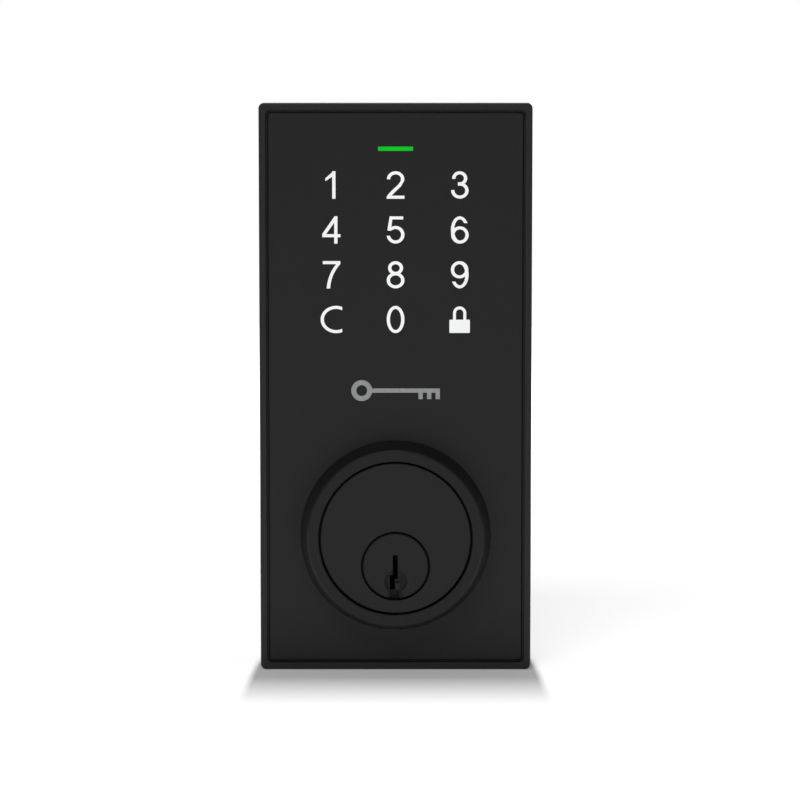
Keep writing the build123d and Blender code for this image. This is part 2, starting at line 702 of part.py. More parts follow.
def make_grommet():
    y_front, y_back = Y_PLATE - CABLE_LIP_T, Y_GASKET + CABLE_LIP_T
    sleeve = prism(cable_slot(CABLE_LIP / 2), y_front, y_back)
    lips = prism(cable_slot(CABLE_LIP), y_front, Y_PLATE)
    lips += prism(cable_slot(CABLE_LIP), Y_GASKET, y_back)
    return sleeve + lips - prism(cable_slot(0), y_front, y_back)


def make_posts():
    posts = []
    for x, z in POSTS:
        post = disc(POST_R, Y_PLATE, POST_REACH, x, z)
        post = chamfer(post.edges().group_by(Axis.Y)[-1], POST_EDGE)
        post += disc(POST_FLANGE_R, Y_PLATE - POST_FLANGE_T, Y_PLATE, x, z)
        posts.append(post - disc(POST_THREAD_R, Y_PLATE + POST_FLOOR, POST_REACH, x, z))
    return group(posts)


# ---- Collar and cylinder ----
def make_collar():
    ring = turned(
        (COLLAR_BORE_R, Y_COLLAR), (COLLAR_FRONT_R, Y_COLLAR), (COLLAR_BASE_R, Y_PANEL),
        (COLLAR_NECK_R, Y_PANEL), (COLLAR_NECK_R, Y_DECK), (COLLAR_LIP_R, Y_DECK),
        (COLLAR_LIP_R, Y_FACE_BACK), (COLLAR_BORE_R, Y_FACE_BACK),
    )
    outer = ring.edges().group_by(Axis.Y)[0].sort_by(SortBy.LENGTH)[-1]
    ring = fillet(outer, COLLAR_EDGE)
    inner = ring.edges().group_by(Axis.Y)[0].sort_by(SortBy.LENGTH)[0]
    ring = chamfer(inner, COLLAR_MOUTH_EDGE)
    ring -= prism(cylinder_outline(BACK_FIT), Y_FACE_BACK, Y_DECK)
    return ring - seal_ring()


def seal_ring():
    middle = (COLLAR_NECK_R + COLLAR_BASE_R) / 2
    inner, outer = middle - SEAL_W / 2, middle + SEAL_W / 2
    return turned((inner, Y_PANEL - SEAL_T), (outer, Y_PANEL - SEAL_T), (outer, Y_PANEL), (inner, Y_PANEL))


def make_cylinder_body():
    face = disc(FACE_R, Y_FACE, Y_FACE_BACK)
    face = chamfer(face.edges().group_by(Axis.Y)[0], FACE_EDGE)
    body = face + prism(cylinder_outline(0), Y_FACE_BACK, BARREL_BACK)
    for x, z in EARS:
        body += disc(EAR_R, Y_FACE_BACK, Y_DECK, x, z)
        body -= disc(EAR_SCREW_R, Y_DECK - EAR_SCREW_LEN + DECK_T, Y_DECK, x, z)
    body -= disc(FLANGE_R + FLANGE_GAP, Y_FACE, Y_SHOULDER, 0, Z_PLUG)
    body -= disc(BORE_R, Y_SHOULDER, BARREL_BACK, 0, Z_PLUG)
    for y in PIN_Y:
        body -= upright(CHAMBER_R, Z_PLUG, Z_COVER, y)
    body -= cover_strip(TOWER_TOP)
    for x, z in GUARD_PLACES:
        body -= disc(GUARD_R, Y_FACE + GUARD_COVER, Y_FACE_BACK, x, z)
    return body


def cover_strip(z_high):
    half = COVER_W / 2
    return slab(-half, half, PIN_Y[0] - COVER_LAP, PIN_Y[-1] + COVER_LAP, Z_COVER, z_high)


def keyway_outline():
    """The key slot about the plug axis: an upper run, a jog and an offset lower run."""
    return outline(
        (-0.7, 2.8), (0.55, 2.8), (0.55, -3.4), (-0.2, -3.4), (-0.2, -6.2), (0.9, -6.2),
        (0.9, -FLANGE_R - 1), (-1.45, -FLANGE_R - 1), (-1.45, -2.4), (-0.7, -2.4),
    )


def keyway_dish():
    """The shallow round dish and flared mouth cut in the plug's face round the key slot."""
    dish = Pos(0.05, -3.9) * Circle(DISH_R) - patch(-0.05, 1.15, -5.95, -4.35)
    mouth = outline((-1.6, -6.2), (1.35, -6.2), (2.9, -FLANGE_R - 1), (-2.7, -FLANGE_R - 1))
    return dish + mouth


def make_plug():
    at_axis = Pos(0, Z_PLUG)
    flange = disc(FLANGE_R, Y_FACE, Y_FACE + FLANGE_T, 0, Z_PLUG)
    flange = chamfer(flange.edges().group_by(Axis.Y)[0], FLANGE_EDGE)
    plug = flange + disc(PLUG_R, Y_FACE + FLANGE_T, PLUG_STEP, 0, Z_PLUG)
    plug += disc(SPIGOT_R, PLUG_STEP, Y_SPIGOT, 0, Z_PLUG)
    plug += disc(PILOT_R, Y_SPIGOT, Y_HUB + HUB_T - PILOT_SHORT, 0, Z_PLUG)
    plug += sector(LUG_R, PILOT_R, 90, LUG_HALF_ANGLE, Y_SPIGOT, Y_SPIGOT + LUG_LEN)
    plug -= prism(at_axis * keyway_outline(), Y_FACE, PIN_Y[-1] + PIN_PITCH)
    plug -= prism(at_axis * keyway_dish(), Y_FACE, Y_FACE + DISH_DEPTH)
    for y in PIN_Y:
        plug -= upright(CHAMBER_R, Z_KEY_PIN - PIN_SEAT_FIT, Z_PLUG + BORE_R, y)
    return plug


def make_key_pin(number):
    y, length = PIN_Y[number], KEY_PIN_LEN[number]
    tip = Pos(0, y, Z_KEY_PIN + PIN_TIP / 2) * Cone(PIN_TIP_R, PIN_R, PIN_TIP)
    pin = upright(PIN_R, Z_KEY_PIN + PIN_TIP, Z_KEY_PIN + length, y) + tip
    return chamfer(pin.edges().group_by(Axis.Z)[-1], KEY_PIN_EDGE)


def make_driver_pin(number):
    pin = upright(PIN_R, Z_DRIVER, Z_DRIVER + DRIVER_LEN, PIN_Y[number])
    return chamfer(pin.edges().filter_by(GeomType.CIRCLE), DRIVER_EDGE)


def make_spring(number):
    y = PIN_Y[number]
    low = Z_DRIVER + DRIVER_LEN
    return upright(SPRING_R, low, Z_COVER, y) - upright(SPRING_BORE_R, low, Z_COVER, y)


def make_plug_cap():
    cap = disc(SPIGOT_R + CAP_WALL, PLUG_STEP, Y_CAP_END + CAP_END_T, 0, Z_PLUG)
    cap = chamfer(cap.edges().group_by(Axis.Y)[-1], CAP_EDGE)
    cap -= disc(SPIGOT_R, PLUG_STEP, Y_CAP_END, 0, Z_PLUG)
    return cap - disc(CAP_HOLE_R, Y_CAP_END, Y_CAP_END + CAP_END_T, 0, Z_PLUG)


def make_tailpiece():
    hub = disc(HUB_R, Y_HUB, Y_HUB + HUB_T, 0, Z_PLUG)
    hub += sector(LUG_R, LUG_BORE_R, -90, LUG_HALF_ANGLE, Y_SPIGOT + LUG_FIT, Y_HUB)
    hub -= disc(PILOT_R + PLUG_FIT, Y_HUB, Y_HUB + HUB_T, 0, Z_PLUG)
    y_blade = Y_HUB + HUB_T
    blade = slab(
        -BLADE_T / 2, BLADE_T / 2, y_blade, BLADE_END, Z_PLUG - BLADE_W / 2, Z_PLUG + BLADE_W / 2
    )
    blade = chamfer(blade.edges().group_by(Axis.Y)[-1], BLADE_EDGE)
    score_count = int((BLADE_END - y_blade) / 2 / BLADE_SCORE_PITCH)
    for step in range(1, score_count + 1):
        y = BLADE_END - step * BLADE_SCORE_PITCH
        for side in (-1, 1):
            blade -= slab(
                side * BLADE_T / 2 - BLADE_SCORE / 2, side * BLADE_T / 2 + BLADE_SCORE / 2,
                y - BLADE_SCORE, y + BLADE_SCORE, Z_PLUG - BLADE_W / 2, Z_PLUG + BLADE_W / 2,
            )
    return hub + blade


os.makedirs("parts", exist_ok=True)
legends = legend_solids()
emblem = emblem_solid()

save("housing", make_housing())
save("front_panel", make_panel(legends, emblem))
save("panel_tape", make_tape())
save("key_legends", group(legends))
save("front_emblem", emblem)
save("status_light_pipe", make_light_pipe())
save("touch_film", make_touch_film())
save("light_baffle", make_baffle())
save("legend_diffusers", make_diffusers())
save("keypad_board", make_pcb())
save("backlight_leds", group([led(x, z, LED_W, LED_H, LED_T) for x, z in WELLS]))
save("status_led", led(0, Z_LIGHT, STATUS_LED_W, STATUS_LED_H, STATUS_LED_T))
save("touch_controller", chip(TOUCH_CHIP_X, ROW_Z[2] + TOUCH_CHIP_RISE, TOUCH_CHIP))
save("radio_module", chip(RADIO_X, ROW_Z[0] - RADIO_DROP, RADIO))
save("harness_header", make_harness_header())
save("sounder", make_sounder())
save("board_parts", make_board_parts())
save("board_screws", make_board_screws())
save("back_plate", make_back_plate())
save("back_plate_screws", make_plate_screws())
save("door_gasket", make_gasket())
save("cable_grommet", make_grommet())
save("mounting_posts", make_posts())
save("collar", make_collar())
save("collar_seal", seal_ring())
save("cylinder_body", make_cylinder_body())
save("cylinder_screws", group([
    pan_screw(x, z, Y_DECK_BACK, EAR_HEAD_R, EAR_HEAD_T, EAR_SCREW_R, EAR_SCREW_LEN) for x, z in EARS
]))
save("cylinder_cover", cover_strip(TOWER_TOP))
save("drill_guard_pins", group([
    disc(GUARD_R, Y_FACE + GUARD_COVER, Y_FACE_BACK, x, z) for x, z in GUARD_PLACES
]))
save("plug", make_plug())
save("plug_cap", make_plug_cap())
save("tailpiece", make_tailpiece())
for number in range(PIN_COUNT):
    save(f"key_pin_{number + 1}", make_key_pin(number))
    save(f"driver_pin_{number + 1}", make_driver_pin(number))
    save(f"pin_spring_{number + 1}", make_spring(number))
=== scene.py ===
"""Finishes, small parts and studio for the outside unit of a keypad deadbolt.

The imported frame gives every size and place, in metres. The shell, panel, collar, cylinder and
metalwork keep their own shapes and get their finishes here. The springs, the threads, the ribs
of the plug's cap and everything of foam or rubber are made here. Each operator finishes or makes
one piece, or one group of like pieces.
"""
import json
import math

import bmesh
import bpy
from bpy.props import FloatProperty, FloatVectorProperty, IntProperty, PointerProperty
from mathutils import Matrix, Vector


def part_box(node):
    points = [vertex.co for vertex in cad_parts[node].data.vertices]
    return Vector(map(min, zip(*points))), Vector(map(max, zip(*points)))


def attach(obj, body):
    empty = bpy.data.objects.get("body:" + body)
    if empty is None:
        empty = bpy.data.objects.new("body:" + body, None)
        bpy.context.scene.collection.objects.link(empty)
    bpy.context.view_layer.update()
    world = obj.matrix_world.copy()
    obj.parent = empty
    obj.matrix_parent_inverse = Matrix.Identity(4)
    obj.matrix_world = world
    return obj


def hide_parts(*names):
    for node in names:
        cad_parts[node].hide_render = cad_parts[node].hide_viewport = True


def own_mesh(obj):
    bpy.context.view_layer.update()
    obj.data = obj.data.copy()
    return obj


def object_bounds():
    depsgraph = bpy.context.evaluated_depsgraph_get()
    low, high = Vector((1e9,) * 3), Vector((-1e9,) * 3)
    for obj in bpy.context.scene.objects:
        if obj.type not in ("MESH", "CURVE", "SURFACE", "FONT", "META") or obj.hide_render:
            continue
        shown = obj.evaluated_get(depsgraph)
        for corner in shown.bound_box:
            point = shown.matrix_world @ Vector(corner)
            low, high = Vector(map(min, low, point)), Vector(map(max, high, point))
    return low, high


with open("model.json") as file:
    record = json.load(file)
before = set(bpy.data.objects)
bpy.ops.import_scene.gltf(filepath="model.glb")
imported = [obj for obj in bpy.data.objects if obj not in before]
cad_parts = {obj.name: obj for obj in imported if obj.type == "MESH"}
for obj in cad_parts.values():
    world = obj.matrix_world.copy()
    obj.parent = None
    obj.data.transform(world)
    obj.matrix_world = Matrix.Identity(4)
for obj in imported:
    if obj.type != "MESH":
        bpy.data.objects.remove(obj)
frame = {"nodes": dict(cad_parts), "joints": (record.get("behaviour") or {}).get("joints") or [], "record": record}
CAD_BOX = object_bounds()

bl_info = {
    "name": "Keypad deadbolt, outside unit",
    "version": (1, 0, 0),
    "blender": (4, 5, 0),
    "location": "View3D > Sidebar > Deadbolt",
    "description": "Finishes a keypad deadbolt's outside unit and makes its small parts",
    "category": "Object",
}

MM = 0.001
PIN_STACKS = range(1, 6)
OBJECT_BODY = "lock_body"
WAVE_PERIOD = 2 * math.pi / 20      # a Wave Texture's own period at scale 1
MIX_A, MIX_B, MIX_COLOUR = 6, 7, 2  # a Mix node's colour sockets

RECESS_SHADE_DEPTH = 0.6 * MM           # behind a brass face, where the painted shade of a recess is full
COIL_POINTS = 28                    # points in one turn of a spring or a thread
SPRING_WIRE_SIDES = 8
SPRING_CLOSE_END = 0.75
THREAD_SIDES = 4
POST_SOLID_FRONT = 3.5 * MM         # of a mounting post, in front of its blind hole
RIB_SIDES = 8
RIB_MARGIN = 0.6 * MM               # plain brass in front of the plug cap's ribs, and twice that behind
GASKET_HOLE_R = 25.0 * MM
GASKET_CORNER_R = 1.5 * MM
BEAD_INSET = 2.2 * MM               # from the gasket's edge to its sealing bead
BEAD_WIDTH = 2.6 * MM
BEAD_STEPS = 8
EDGE_STEP = 0.3                     # of a soft edge's rounding, where its middle loop lies
GROMMET_LIP = 1.4 * MM              # how far the lips stand out from the cable's opening
GROMMET_WAIST = 0.7 * MM            # the same between the lips, in the back plate
SEAL_WIDTH = 0.6 * MM
SEAL_ROUNDING = 0.35                # of the seal ring's width
SEAL_POINTS = 96
TAPE_WIDTH = 2.5 * MM
TAPE_CORNER_R = 0.8 * MM
TAPE_BULGE = 0.06 * MM

FLOOR_REACH = 12.0
FLOOR_LIFT = 0.13                   # light that the paper gives by itself
FLOOR_GLOW = (0.15, 0.60)           # from the crossbore to where it starts to whiten, and is white
TOP_LIGHT_SIZE = (0.04, 0.55)
TOP_LIGHT_PLACE = (0, 0.42, 3.0)
FRONT_LIGHT_SIZE = (0.6, 0.35)
FRONT_LIGHT_PLACE = (-0.25, -0.9, 1.3)
SENSOR_WIDTH = 36.0
CAMERA_CLIP = (0.01, 100.0)


# ---- Places read from the frame ----
def low(node):
    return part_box(node)[0]


def high(node):
    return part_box(node)[1]


def middle(node):
    return (low(node) + high(node)) / 2


def joint(name):
    return next(j for j in frame["joints"] if j["name"] == name)


def mount(name):
    return next(m for m in frame["record"]["mounts"] if m["name"] == name)


PLUG_AXIS = Vector(joint("plug_turn")["pos_m"])


# ---- Colours, scales and nodes ----
def linear(code):
    """An sRGB hex colour as linear red, green, blue and alpha."""
    parts = [int(code[i:i + 2], 16) / 255 for i in (0, 2, 4)]
    return (*[c / 12.92 if c <= 0.04045 else ((c + 0.055) / 1.055) ** 2.4 for c in parts], 1.0)


def per(size_mm):
    """The scale, on coordinates in metres, that makes one feature this many millimetres wide."""
    return 1 / (size_mm * MM)


def toned(colour, share):
    """The colour made lighter by this share, or darker where it is below nought."""
    return (*[min(1.0, c * (1 + share)) for c in colour[:3]], 1.0)


def add(tree, kind, values=None, links=None, **settings):
    """Adds a node, sets its settings and its sockets' values, and links sockets to outputs."""
    node = tree.nodes.new(kind)
    for name, value in settings.items():
        setattr(node, name, value)
    for socket, value in (values or {}).items():
        node.inputs[socket].default_value = value
    for socket, output in (links or {}).items():
        tree.links.new(output, node.inputs[socket])
    return node


def start_material(name):
    """An empty material, its tree, and the coordinates that its patterns follow."""
    material = bpy.data.materials.new(name)
    material.use_nodes = True
    tree = material.node_tree
    tree.nodes.clear()
    return material, tree, add(tree, "ShaderNodeTexCoord").outputs["Object"]


def end_material(tree, fixed, linked):
    """The shader, with its even values and its patterned ones, and the output."""
    shader = add(tree, "ShaderNodeBsdfPrincipled", fixed, linked)
    add(tree, "ShaderNodeOutputMaterial", links={"Surface": shader.outputs[0]})


def grained(name, colour, rough, grain_mm, relief_mm, cloud_mm=12.0, spread=0.06, **fixed):
    """Fine grain in the relief and the gloss, over slow clouds in the tone.

    rough holds the lowest and the highest roughness, and fixed holds even values.
    """
    material, tree, place = start_material(name)
    clouds = add(tree, "ShaderNodeTexNoise", {"Scale": per(cloud_mm), "Detail": 3}, {"Vector": place})
    grain = add(tree, "ShaderNodeTexNoise", {"Scale": per(grain_mm), "Detail": 2}, {"Vector": place})
    tone = add(
        tree, "ShaderNodeMix", {MIX_A: toned(colour, -spread), MIX_B: toned(colour, spread)},
        {"Factor": clouds.outputs["Fac"]}, data_type="RGBA",
    )
    gloss = add(
        tree, "ShaderNodeMapRange", {"To Min": rough[0], "To Max": rough[1]},
        {"Value": grain.outputs["Fac"]},
    )
    relief = add(
        tree, "ShaderNodeBump", {"Distance": relief_mm * MM}, {"Height": grain.outputs["Fac"]}
    )
    end_material(tree, fixed, {
        "Base Color": tone.outputs[MIX_COLOUR], "Roughness": gloss.outputs["Result"],
        "Normal": relief.outputs["Normal"],
    })
    return material


# ---- Finishes of what shows from the front ----
def powder_coated_zinc(name, colour):
    """Baked powder on a zinc casting: black, even and dull, with a fine orange peel in the gloss."""
    return grained(
        name, colour, (0.50, 0.62), grain_mm=0.45, relief_mm=0.006,
        **{"Specular IOR Level": 0.35},
    )


def moulded_abs(colour):
    """Black ABS from a spark-eroded mould: a matt, slightly grey front that hides fingerprints."""
    return grained(
        "moulded_abs", colour, (0.52, 0.64), grain_mm=0.30, relief_mm=0.004, cloud_mm=20.0,
        **{"Specular IOR Level": 0.35},
    )


def lacquered_brass(name, colour, bare, y_face, y_bare, centre):
    """Turned brass with fine turning rings, lacquered black where it shows and bare behind y_bare.

    Painted shade: what lies deeper than y_face, such as the dish round the key slot, darkens with depth to a dark
    metal that reflects little.
    """
    material, tree, place = start_material(name)
    parts = add(tree, "ShaderNodeSeparateXYZ", links={0: place})
    # painted shade of the recesses: nought at y_face, full a little deeper
    painted_recess_shade = add(
        tree, "ShaderNodeMapRange", {"From Min": y_face, "From Max": y_face + RECESS_SHADE_DEPTH},
        {"Value": parts.outputs["Y"]},
    )
    is_bare = add(
        tree, "ShaderNodeMath", {1: y_bare}, {0: parts.outputs["Y"]}, operation="GREATER_THAN"
    )
    centred = add(
        tree, "ShaderNodeMapping", {"Location": (-centre.x, 0, -centre.z)}, {"Vector": place}
    )
    rings = add(
        tree, "ShaderNodeTexWave",
        {"Scale": WAVE_PERIOD * per(0.35), "Distortion": 0.6, "Detail": 1, "Detail Scale": 2},
        {"Vector": centred.outputs[0]}, wave_type="RINGS", rings_direction="Y",
    )
    clouds = add(tree, "ShaderNodeTexNoise", {"Scale": per(6.0), "Detail": 3}, {"Vector": place})
    even = add(
        tree, "ShaderNodeMix", {MIX_A: toned(colour, -0.06), MIX_B: toned(colour, 0.06)},
        {"Factor": clouds.outputs["Fac"]}, data_type="RGBA",
    )
    # painted shade: the lacquer turns dark grey in the recesses
    lacquer = add(
        tree, "ShaderNodeMix", {MIX_B: linear("303032")},
        {"Factor": painted_recess_shade.outputs["Result"], MIX_A: even.outputs[MIX_COLOUR]}, data_type="RGBA",
    )
    # the painted shade also turns metallic, so that it reflects little
    metallic = add(
        tree, "ShaderNodeMath", links={0: is_bare.outputs[0], 1: painted_recess_shade.outputs["Result"]},
        operation="MAXIMUM",
    )
    brass = add(
        tree, "ShaderNodeMix", {MIX_A: toned(bare, -0.25), MIX_B: bare},
        {"Factor": clouds.outputs["Fac"]}, data_type="RGBA",
    )
    tone = add(
        tree, "ShaderNodeMix",
        links={
            "Factor": is_bare.outputs[0], MIX_A: lacquer.outputs[MIX_COLOUR],
            MIX_B: brass.outputs[MIX_COLOUR],
        },
        data_type="RGBA",
    )
    gloss = add(
        tree, "ShaderNodeMapRange", {"To Min": 0.56, "To Max": 0.34}, {"Value": is_bare.outputs[0]}
    )
    relief = add(
        tree, "ShaderNodeBump", {"Distance": 0.002 * MM}, {"Height": rings.outputs["Fac"]}
    )
    end_material(tree, {"Specular IOR Level": 0.35}, {
        "Base Color": tone.outputs[MIX_COLOUR], "Metallic": metallic.outputs[0],
        "Roughness": gloss.outputs["Result"], "Normal": relief.outputs["Normal"],
    })
    return material


def lit_polycarbonate(name, colour, glow, strength, half_length, spread):
    """Clear plastic with light behind it: brightest at its middle, a little dimmer to its ends."""
    material, tree, place = start_material(name)
    grain = add(tree, "ShaderNodeTexNoise", {"Scale": per(1.2), "Detail": 2}, {"Vector": place})
    parts = add(tree, "ShaderNodeSeparateXYZ", links={0: place})
    away = add(tree, "ShaderNodeMath", links={0: parts.outputs["X"]}, operation="ABSOLUTE")
    light = add(
        tree, "ShaderNodeMapRange",
        {"From Max": half_length, "To Min": strength, "To Max": strength * (1 - spread)},
        {"Value": away.outputs[0]},
    )
    gloss = add(
        tree, "ShaderNodeMapRange", {"To Min": 0.30, "To Max": 0.42}, {"Value": grain.outputs["Fac"]}
    )
    end_material(tree, {"Base Color": colour, "Emission Color": glow, "Specular IOR Level": 0.1}, {
        "Roughness": gloss.outputs["Result"], "Emission Strength": light.outputs["Result"],
    })
    return material


def printed_ink(colour):
    """Grey metallic ink, printed: dull, with fine bright flakes."""
    material, tree, place = start_material("printed_ink")
    flakes = add(tree, "ShaderNodeTexVoronoi", {"Scale": per(0.25)}, {"Vector": place})
    tone = add(
        tree, "ShaderNodeMix", {MIX_A: toned(colour, -0.12), MIX_B: toned(colour, 0.16)},
        {"Factor": flakes.outputs["Color"]}, data_type="RGBA",
    )
    end_material(tree, {"Roughness": 0.45}, {"Base Color": tone.outputs[MIX_COLOUR]})
    return material


# ---- Finishes of the metalwork ----
def metal(name, colour, rough, streak_mm, length_mm, along, relief_mm, stain=None):
    """Bare or plated metal with fine streaks, long along one axis, and slow stains in its colour."""
    material, tree, place = start_material(name)
    scale = [per(length_mm) if axis == along else per(streak_mm) for axis in "XYZ"]
    stretched = add(tree, "ShaderNodeMapping", {"Scale": scale}, {"Vector": place})
    streaks = add(
        tree, "ShaderNodeTexNoise", {"Scale": 1.0, "Detail": 3}, {"Vector": stretched.outputs[0]}
    )
    clouds = add(tree, "ShaderNodeTexNoise", {"Scale": per(9.0), "Detail": 4}, {"Vector": place})
    tone = add(
        tree, "ShaderNodeMix", {MIX_A: colour, MIX_B: stain or toned(colour, -0.2)},
        {"Factor": clouds.outputs["Fac"]}, data_type="RGBA",
    )
    gloss = add(
        tree, "ShaderNodeMapRange", {"To Min": rough[0], "To Max": rough[1]},
        {"Value": streaks.outputs["Fac"]},
    )
    relief = add(
        tree, "ShaderNodeBump", {"Distance": relief_mm * MM}, {"Height": streaks.outputs["Fac"]}
    )
    end_material(tree, {"Metallic": 1.0}, {
        "Base Color": tone.outputs[MIX_COLOUR], "Roughness": gloss.outputs["Result"],
        "Normal": relief.outputs["Normal"],
    })
    return material


def zinc_plated_sheet():
    """Rolled steel with clear-passivated zinc: pale blue-grey with faint straw stains."""
    return metal(
        "zinc_plated_sheet", linear("b4babf"), rough=(0.32, 0.46), streak_mm=0.5, length_mm=30.0,
        along="Z", relief_mm=0.004, stain=linear("b3ab93"),
    )


def zinc_plated_bar():
    """Zinc-plated steel turned or drawn along its length: short bright lines round it."""
    return metal(
        "zinc_plated_bar", linear("b8bcc0"), rough=(0.25, 0.40), streak_mm=0.3, length_mm=12.0,
        along="Y", relief_mm=0.004,
    )


def cut_thread():
    """Zinc plate over a cut thread: greyer than the bar round it."""
    return metal(
        "cut_thread", linear("a9adb0"), rough=(0.25, 0.4), streak_mm=0.3, length_mm=2.0,
        along="Y", relief_mm=0.002,
    )


def zinc_plated_screws():
    """Cold-headed and zinc-plated: brighter than the sheet, with faint handling marks."""
    return metal(
        "zinc_plated_screws", linear("c3c6c8"), rough=(0.22, 0.36), streak_mm=0.4, length_mm=0.8,
        along="Y", relief_mm=0.003,
    )


def turned_brass():
    """Free-cutting brass off a lathe: warm yellow, darker where it has been handled."""
    return metal(
        "turned_brass", linear("c9a557"), rough=(0.20, 0.34), streak_mm=0.25, length_mm=4.0,
        along="X", relief_mm=0.001, stain=linear("a27f3d"),
    )


def painted_shade_pin_brass():
    """Brass pins painted near-black as painted shade, so that the key slot looks as dark as its shade."""
    return metal(
        "painted_shade_pin_brass", linear("2b241a"), rough=(0.45, 0.60), streak_mm=0.25, length_mm=3.0,
        along="X", relief_mm=0.003, stain=linear("17130e"),
    )


def hardened_steel():
    """Ground and hardened steel: dark grey with a low shine."""
    return metal(
        "hardened_steel", linear("8b8d92"), rough=(0.25, 0.38), streak_mm=0.2, length_mm=3.0,
        along="X", relief_mm=0.002,
    )


def spring_bronze():
    """Drawn phosphor bronze wire: reddish, smooth and bright."""
    return metal(
        "spring_bronze", linear("b9814c"), rough=(0.20, 0.30), streak_mm=0.15, length_mm=1.5,
        along="X", relief_mm=0.001,
    )


def tinned_steel():
    """A radio's shield can of tinned strip: pale, soft reflections and fine rolling lines."""
    return metal(
        "tinned_steel", linear("c9cbc9"), rough=(0.26, 0.40), streak_mm=0.25, length_mm=15.0,
        along="X", relief_mm=0.003,
    )


# ---- Finishes of foam, rubber and the electronics ----
def closed_cell_foam(name, colour, cell_mm):
    """Cut EPDM foam: dull and dark, with pits where cells were cut open."""
    material, tree, place = start_material(name)
    cells = add(tree, "ShaderNodeTexVoronoi", {"Scale": per(cell_mm)}, {"Vector": place})
    clouds = add(tree, "ShaderNodeTexNoise", {"Scale": per(7.0), "Detail": 4}, {"Vector": place})
    tone = add(
        tree, "ShaderNodeMix", {MIX_A: toned(colour, -0.3), MIX_B: toned(colour, 0.35)},
        {"Factor": clouds.outputs["Fac"]}, data_type="RGBA",
    )
    relief = add(
        tree, "ShaderNodeBump", {"Distance": 0.12 * MM, "Strength": 0.8},
        {"Height": cells.outputs["Distance"]},
    )
    end_material(tree, {"Roughness": 0.9, "Sheen Weight": 0.15}, {
        "Base Color": tone.outputs[MIX_COLOUR], "Normal": relief.outputs["Normal"],
    })
    return material


def moulded_rubber():
    """Black EPDM from a mould: soft-edged, dull, with a grey bloom."""
    return grained(
        "moulded_rubber", linear("1f1f20"), (0.58, 0.74), grain_mm=0.4, relief_mm=0.01,
        cloud_mm=3.0, spread=0.35,
    )


def solder_mask():
    """Green mask over an FR4 board: glossy, lighter where copper tracks run under it."""
    material, tree, place = start_material("solder_mask")
    flat = add(tree, "ShaderNodeMapping", {"Rotation": (math.pi / 2, 0, 0)}, {"Vector": place})
    tracks = add(
        tree, "ShaderNodeTexBrick",
        {
            "Scale": per(1.0), "Color1": linear("17492c"), "Color2": linear("1c5533"),
            "Mortar": linear("2f7d4b"), "Mortar Size": 0.12, "Mortar Smooth": 0.05,
            "Brick Width": 5.5, "Row Height": 1.27,
        },
        {"Vector": flat.outputs[0]},
    )
    relief = add(
        tree, "ShaderNodeBump", {"Distance": 0.03 * MM}, {"Height": tracks.outputs["Fac"]}
    )
    end_material(tree, {"Roughness": 0.28}, {
        "Base Color": tracks.outputs["Color"], "Normal": relief.outputs["Normal"],
    })
    return material


def polyimide_film():
    """Amber polyimide film with copper electrodes under it: clear, shiny and slightly rippled."""
    return grained(
        "polyimide_film", linear("b0752c"), (0.15, 0.28), grain_mm=1.5, relief_mm=0.01,
        cloud_mm=6.0, spread=0.18, **{"Transmission Weight": 0.25},
    )


def opal_acrylic():
    """Opal acrylic sheet: milky, so that the light behind a figure is even."""
    return grained(
        "opal_acrylic", linear("eef0ee"), (0.25, 0.35), grain_mm=0.8, relief_mm=0.002,
        spread=0.03, **{"Transmission Weight": 0.35, "Subsurface Weight": 0.3},
    )


def moulded_plastic(name, code, rough):
    """A small moulding with a light spark finish."""
    return grained(name, linear(code), rough, grain_mm=0.25, relief_mm=0.004, cloud_mm=4.0)


def led_package():
    """A white LED: pale moulded case with yellow phosphor in its lens."""
    material, tree, place = start_material("led_package")
    grain = add(tree, "ShaderNodeTexNoise", {"Scale": per(0.5), "Detail": 2}, {"Vector": place})
    tone = add(
        tree, "ShaderNodeMix", {MIX_A: linear("e9d873"), MIX_B: linear("f2efe2")},
        {"Factor": grain.outputs["Fac"]}, data_type="RGBA",
    )
    end_material(tree, {"Roughness": 0.3, "Coat Weight": 0.4}, {
        "Base Color": tone.outputs[MIX_COLOUR],
    })
    return material


# ---- Making and dressing objects ----
def dress(material, *nodes):
    """Gives CAD nodes a material through their own slots."""
    for node in nodes:
        for slot in frame["nodes"][node].material_slots:
            slot.material = material


def put(name, mesh, material, body, slot, *replaced):
    """A finished piece: a mesh in its place, riding on a body and standing for CAD nodes."""
    piece = bpy.data.objects.new(name, mesh)
    bpy.context.scene.collection.objects.link(piece)
    mesh.materials.clear()
    mesh.materials.append(material)
    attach(piece, body)
    if replaced:
        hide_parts(*replaced)
    return piece


def skin(name, loops):
    """A closed ring of quads through loops that all have the same number of points."""
    mesh = bpy.data.meshes.new(name)
    made = bmesh.new()
    rows = [[made.verts.new(point) for point in loop] for loop in loops]
    for row, after in zip(rows, rows[1:] + rows[:1]):
        for i in range(len(row)):
            j = (i + 1) % len(row)
            made.faces.new((row[i], row[j], after[j], after[i]))
    bmesh.ops.recalc_face_normals(made, faces=made.faces)
    for face in made.faces:
        face.smooth = True
    made.to_mesh(mesh)
    made.free()
    return mesh


def rounded(corners, radius, steps=4):
    """A closed outline with every corner turned into a short curve that starts radius before it."""
    points = []
    for before, corner, after in zip(corners[-1:] + corners[:-1], corners, corners[1:] + corners[:1]):
        corner, before, after = Vector(corner), Vector(before), Vector(after)
        start = corner + (before - corner).normalized() * radius
        end = corner + (after - corner).normalized() * radius
        for step in range(steps + 1):
            t = step / steps
            points.append(start * (1 - t) ** 2 + corner * 2 * t * (1 - t) + end * t ** 2)
    return points


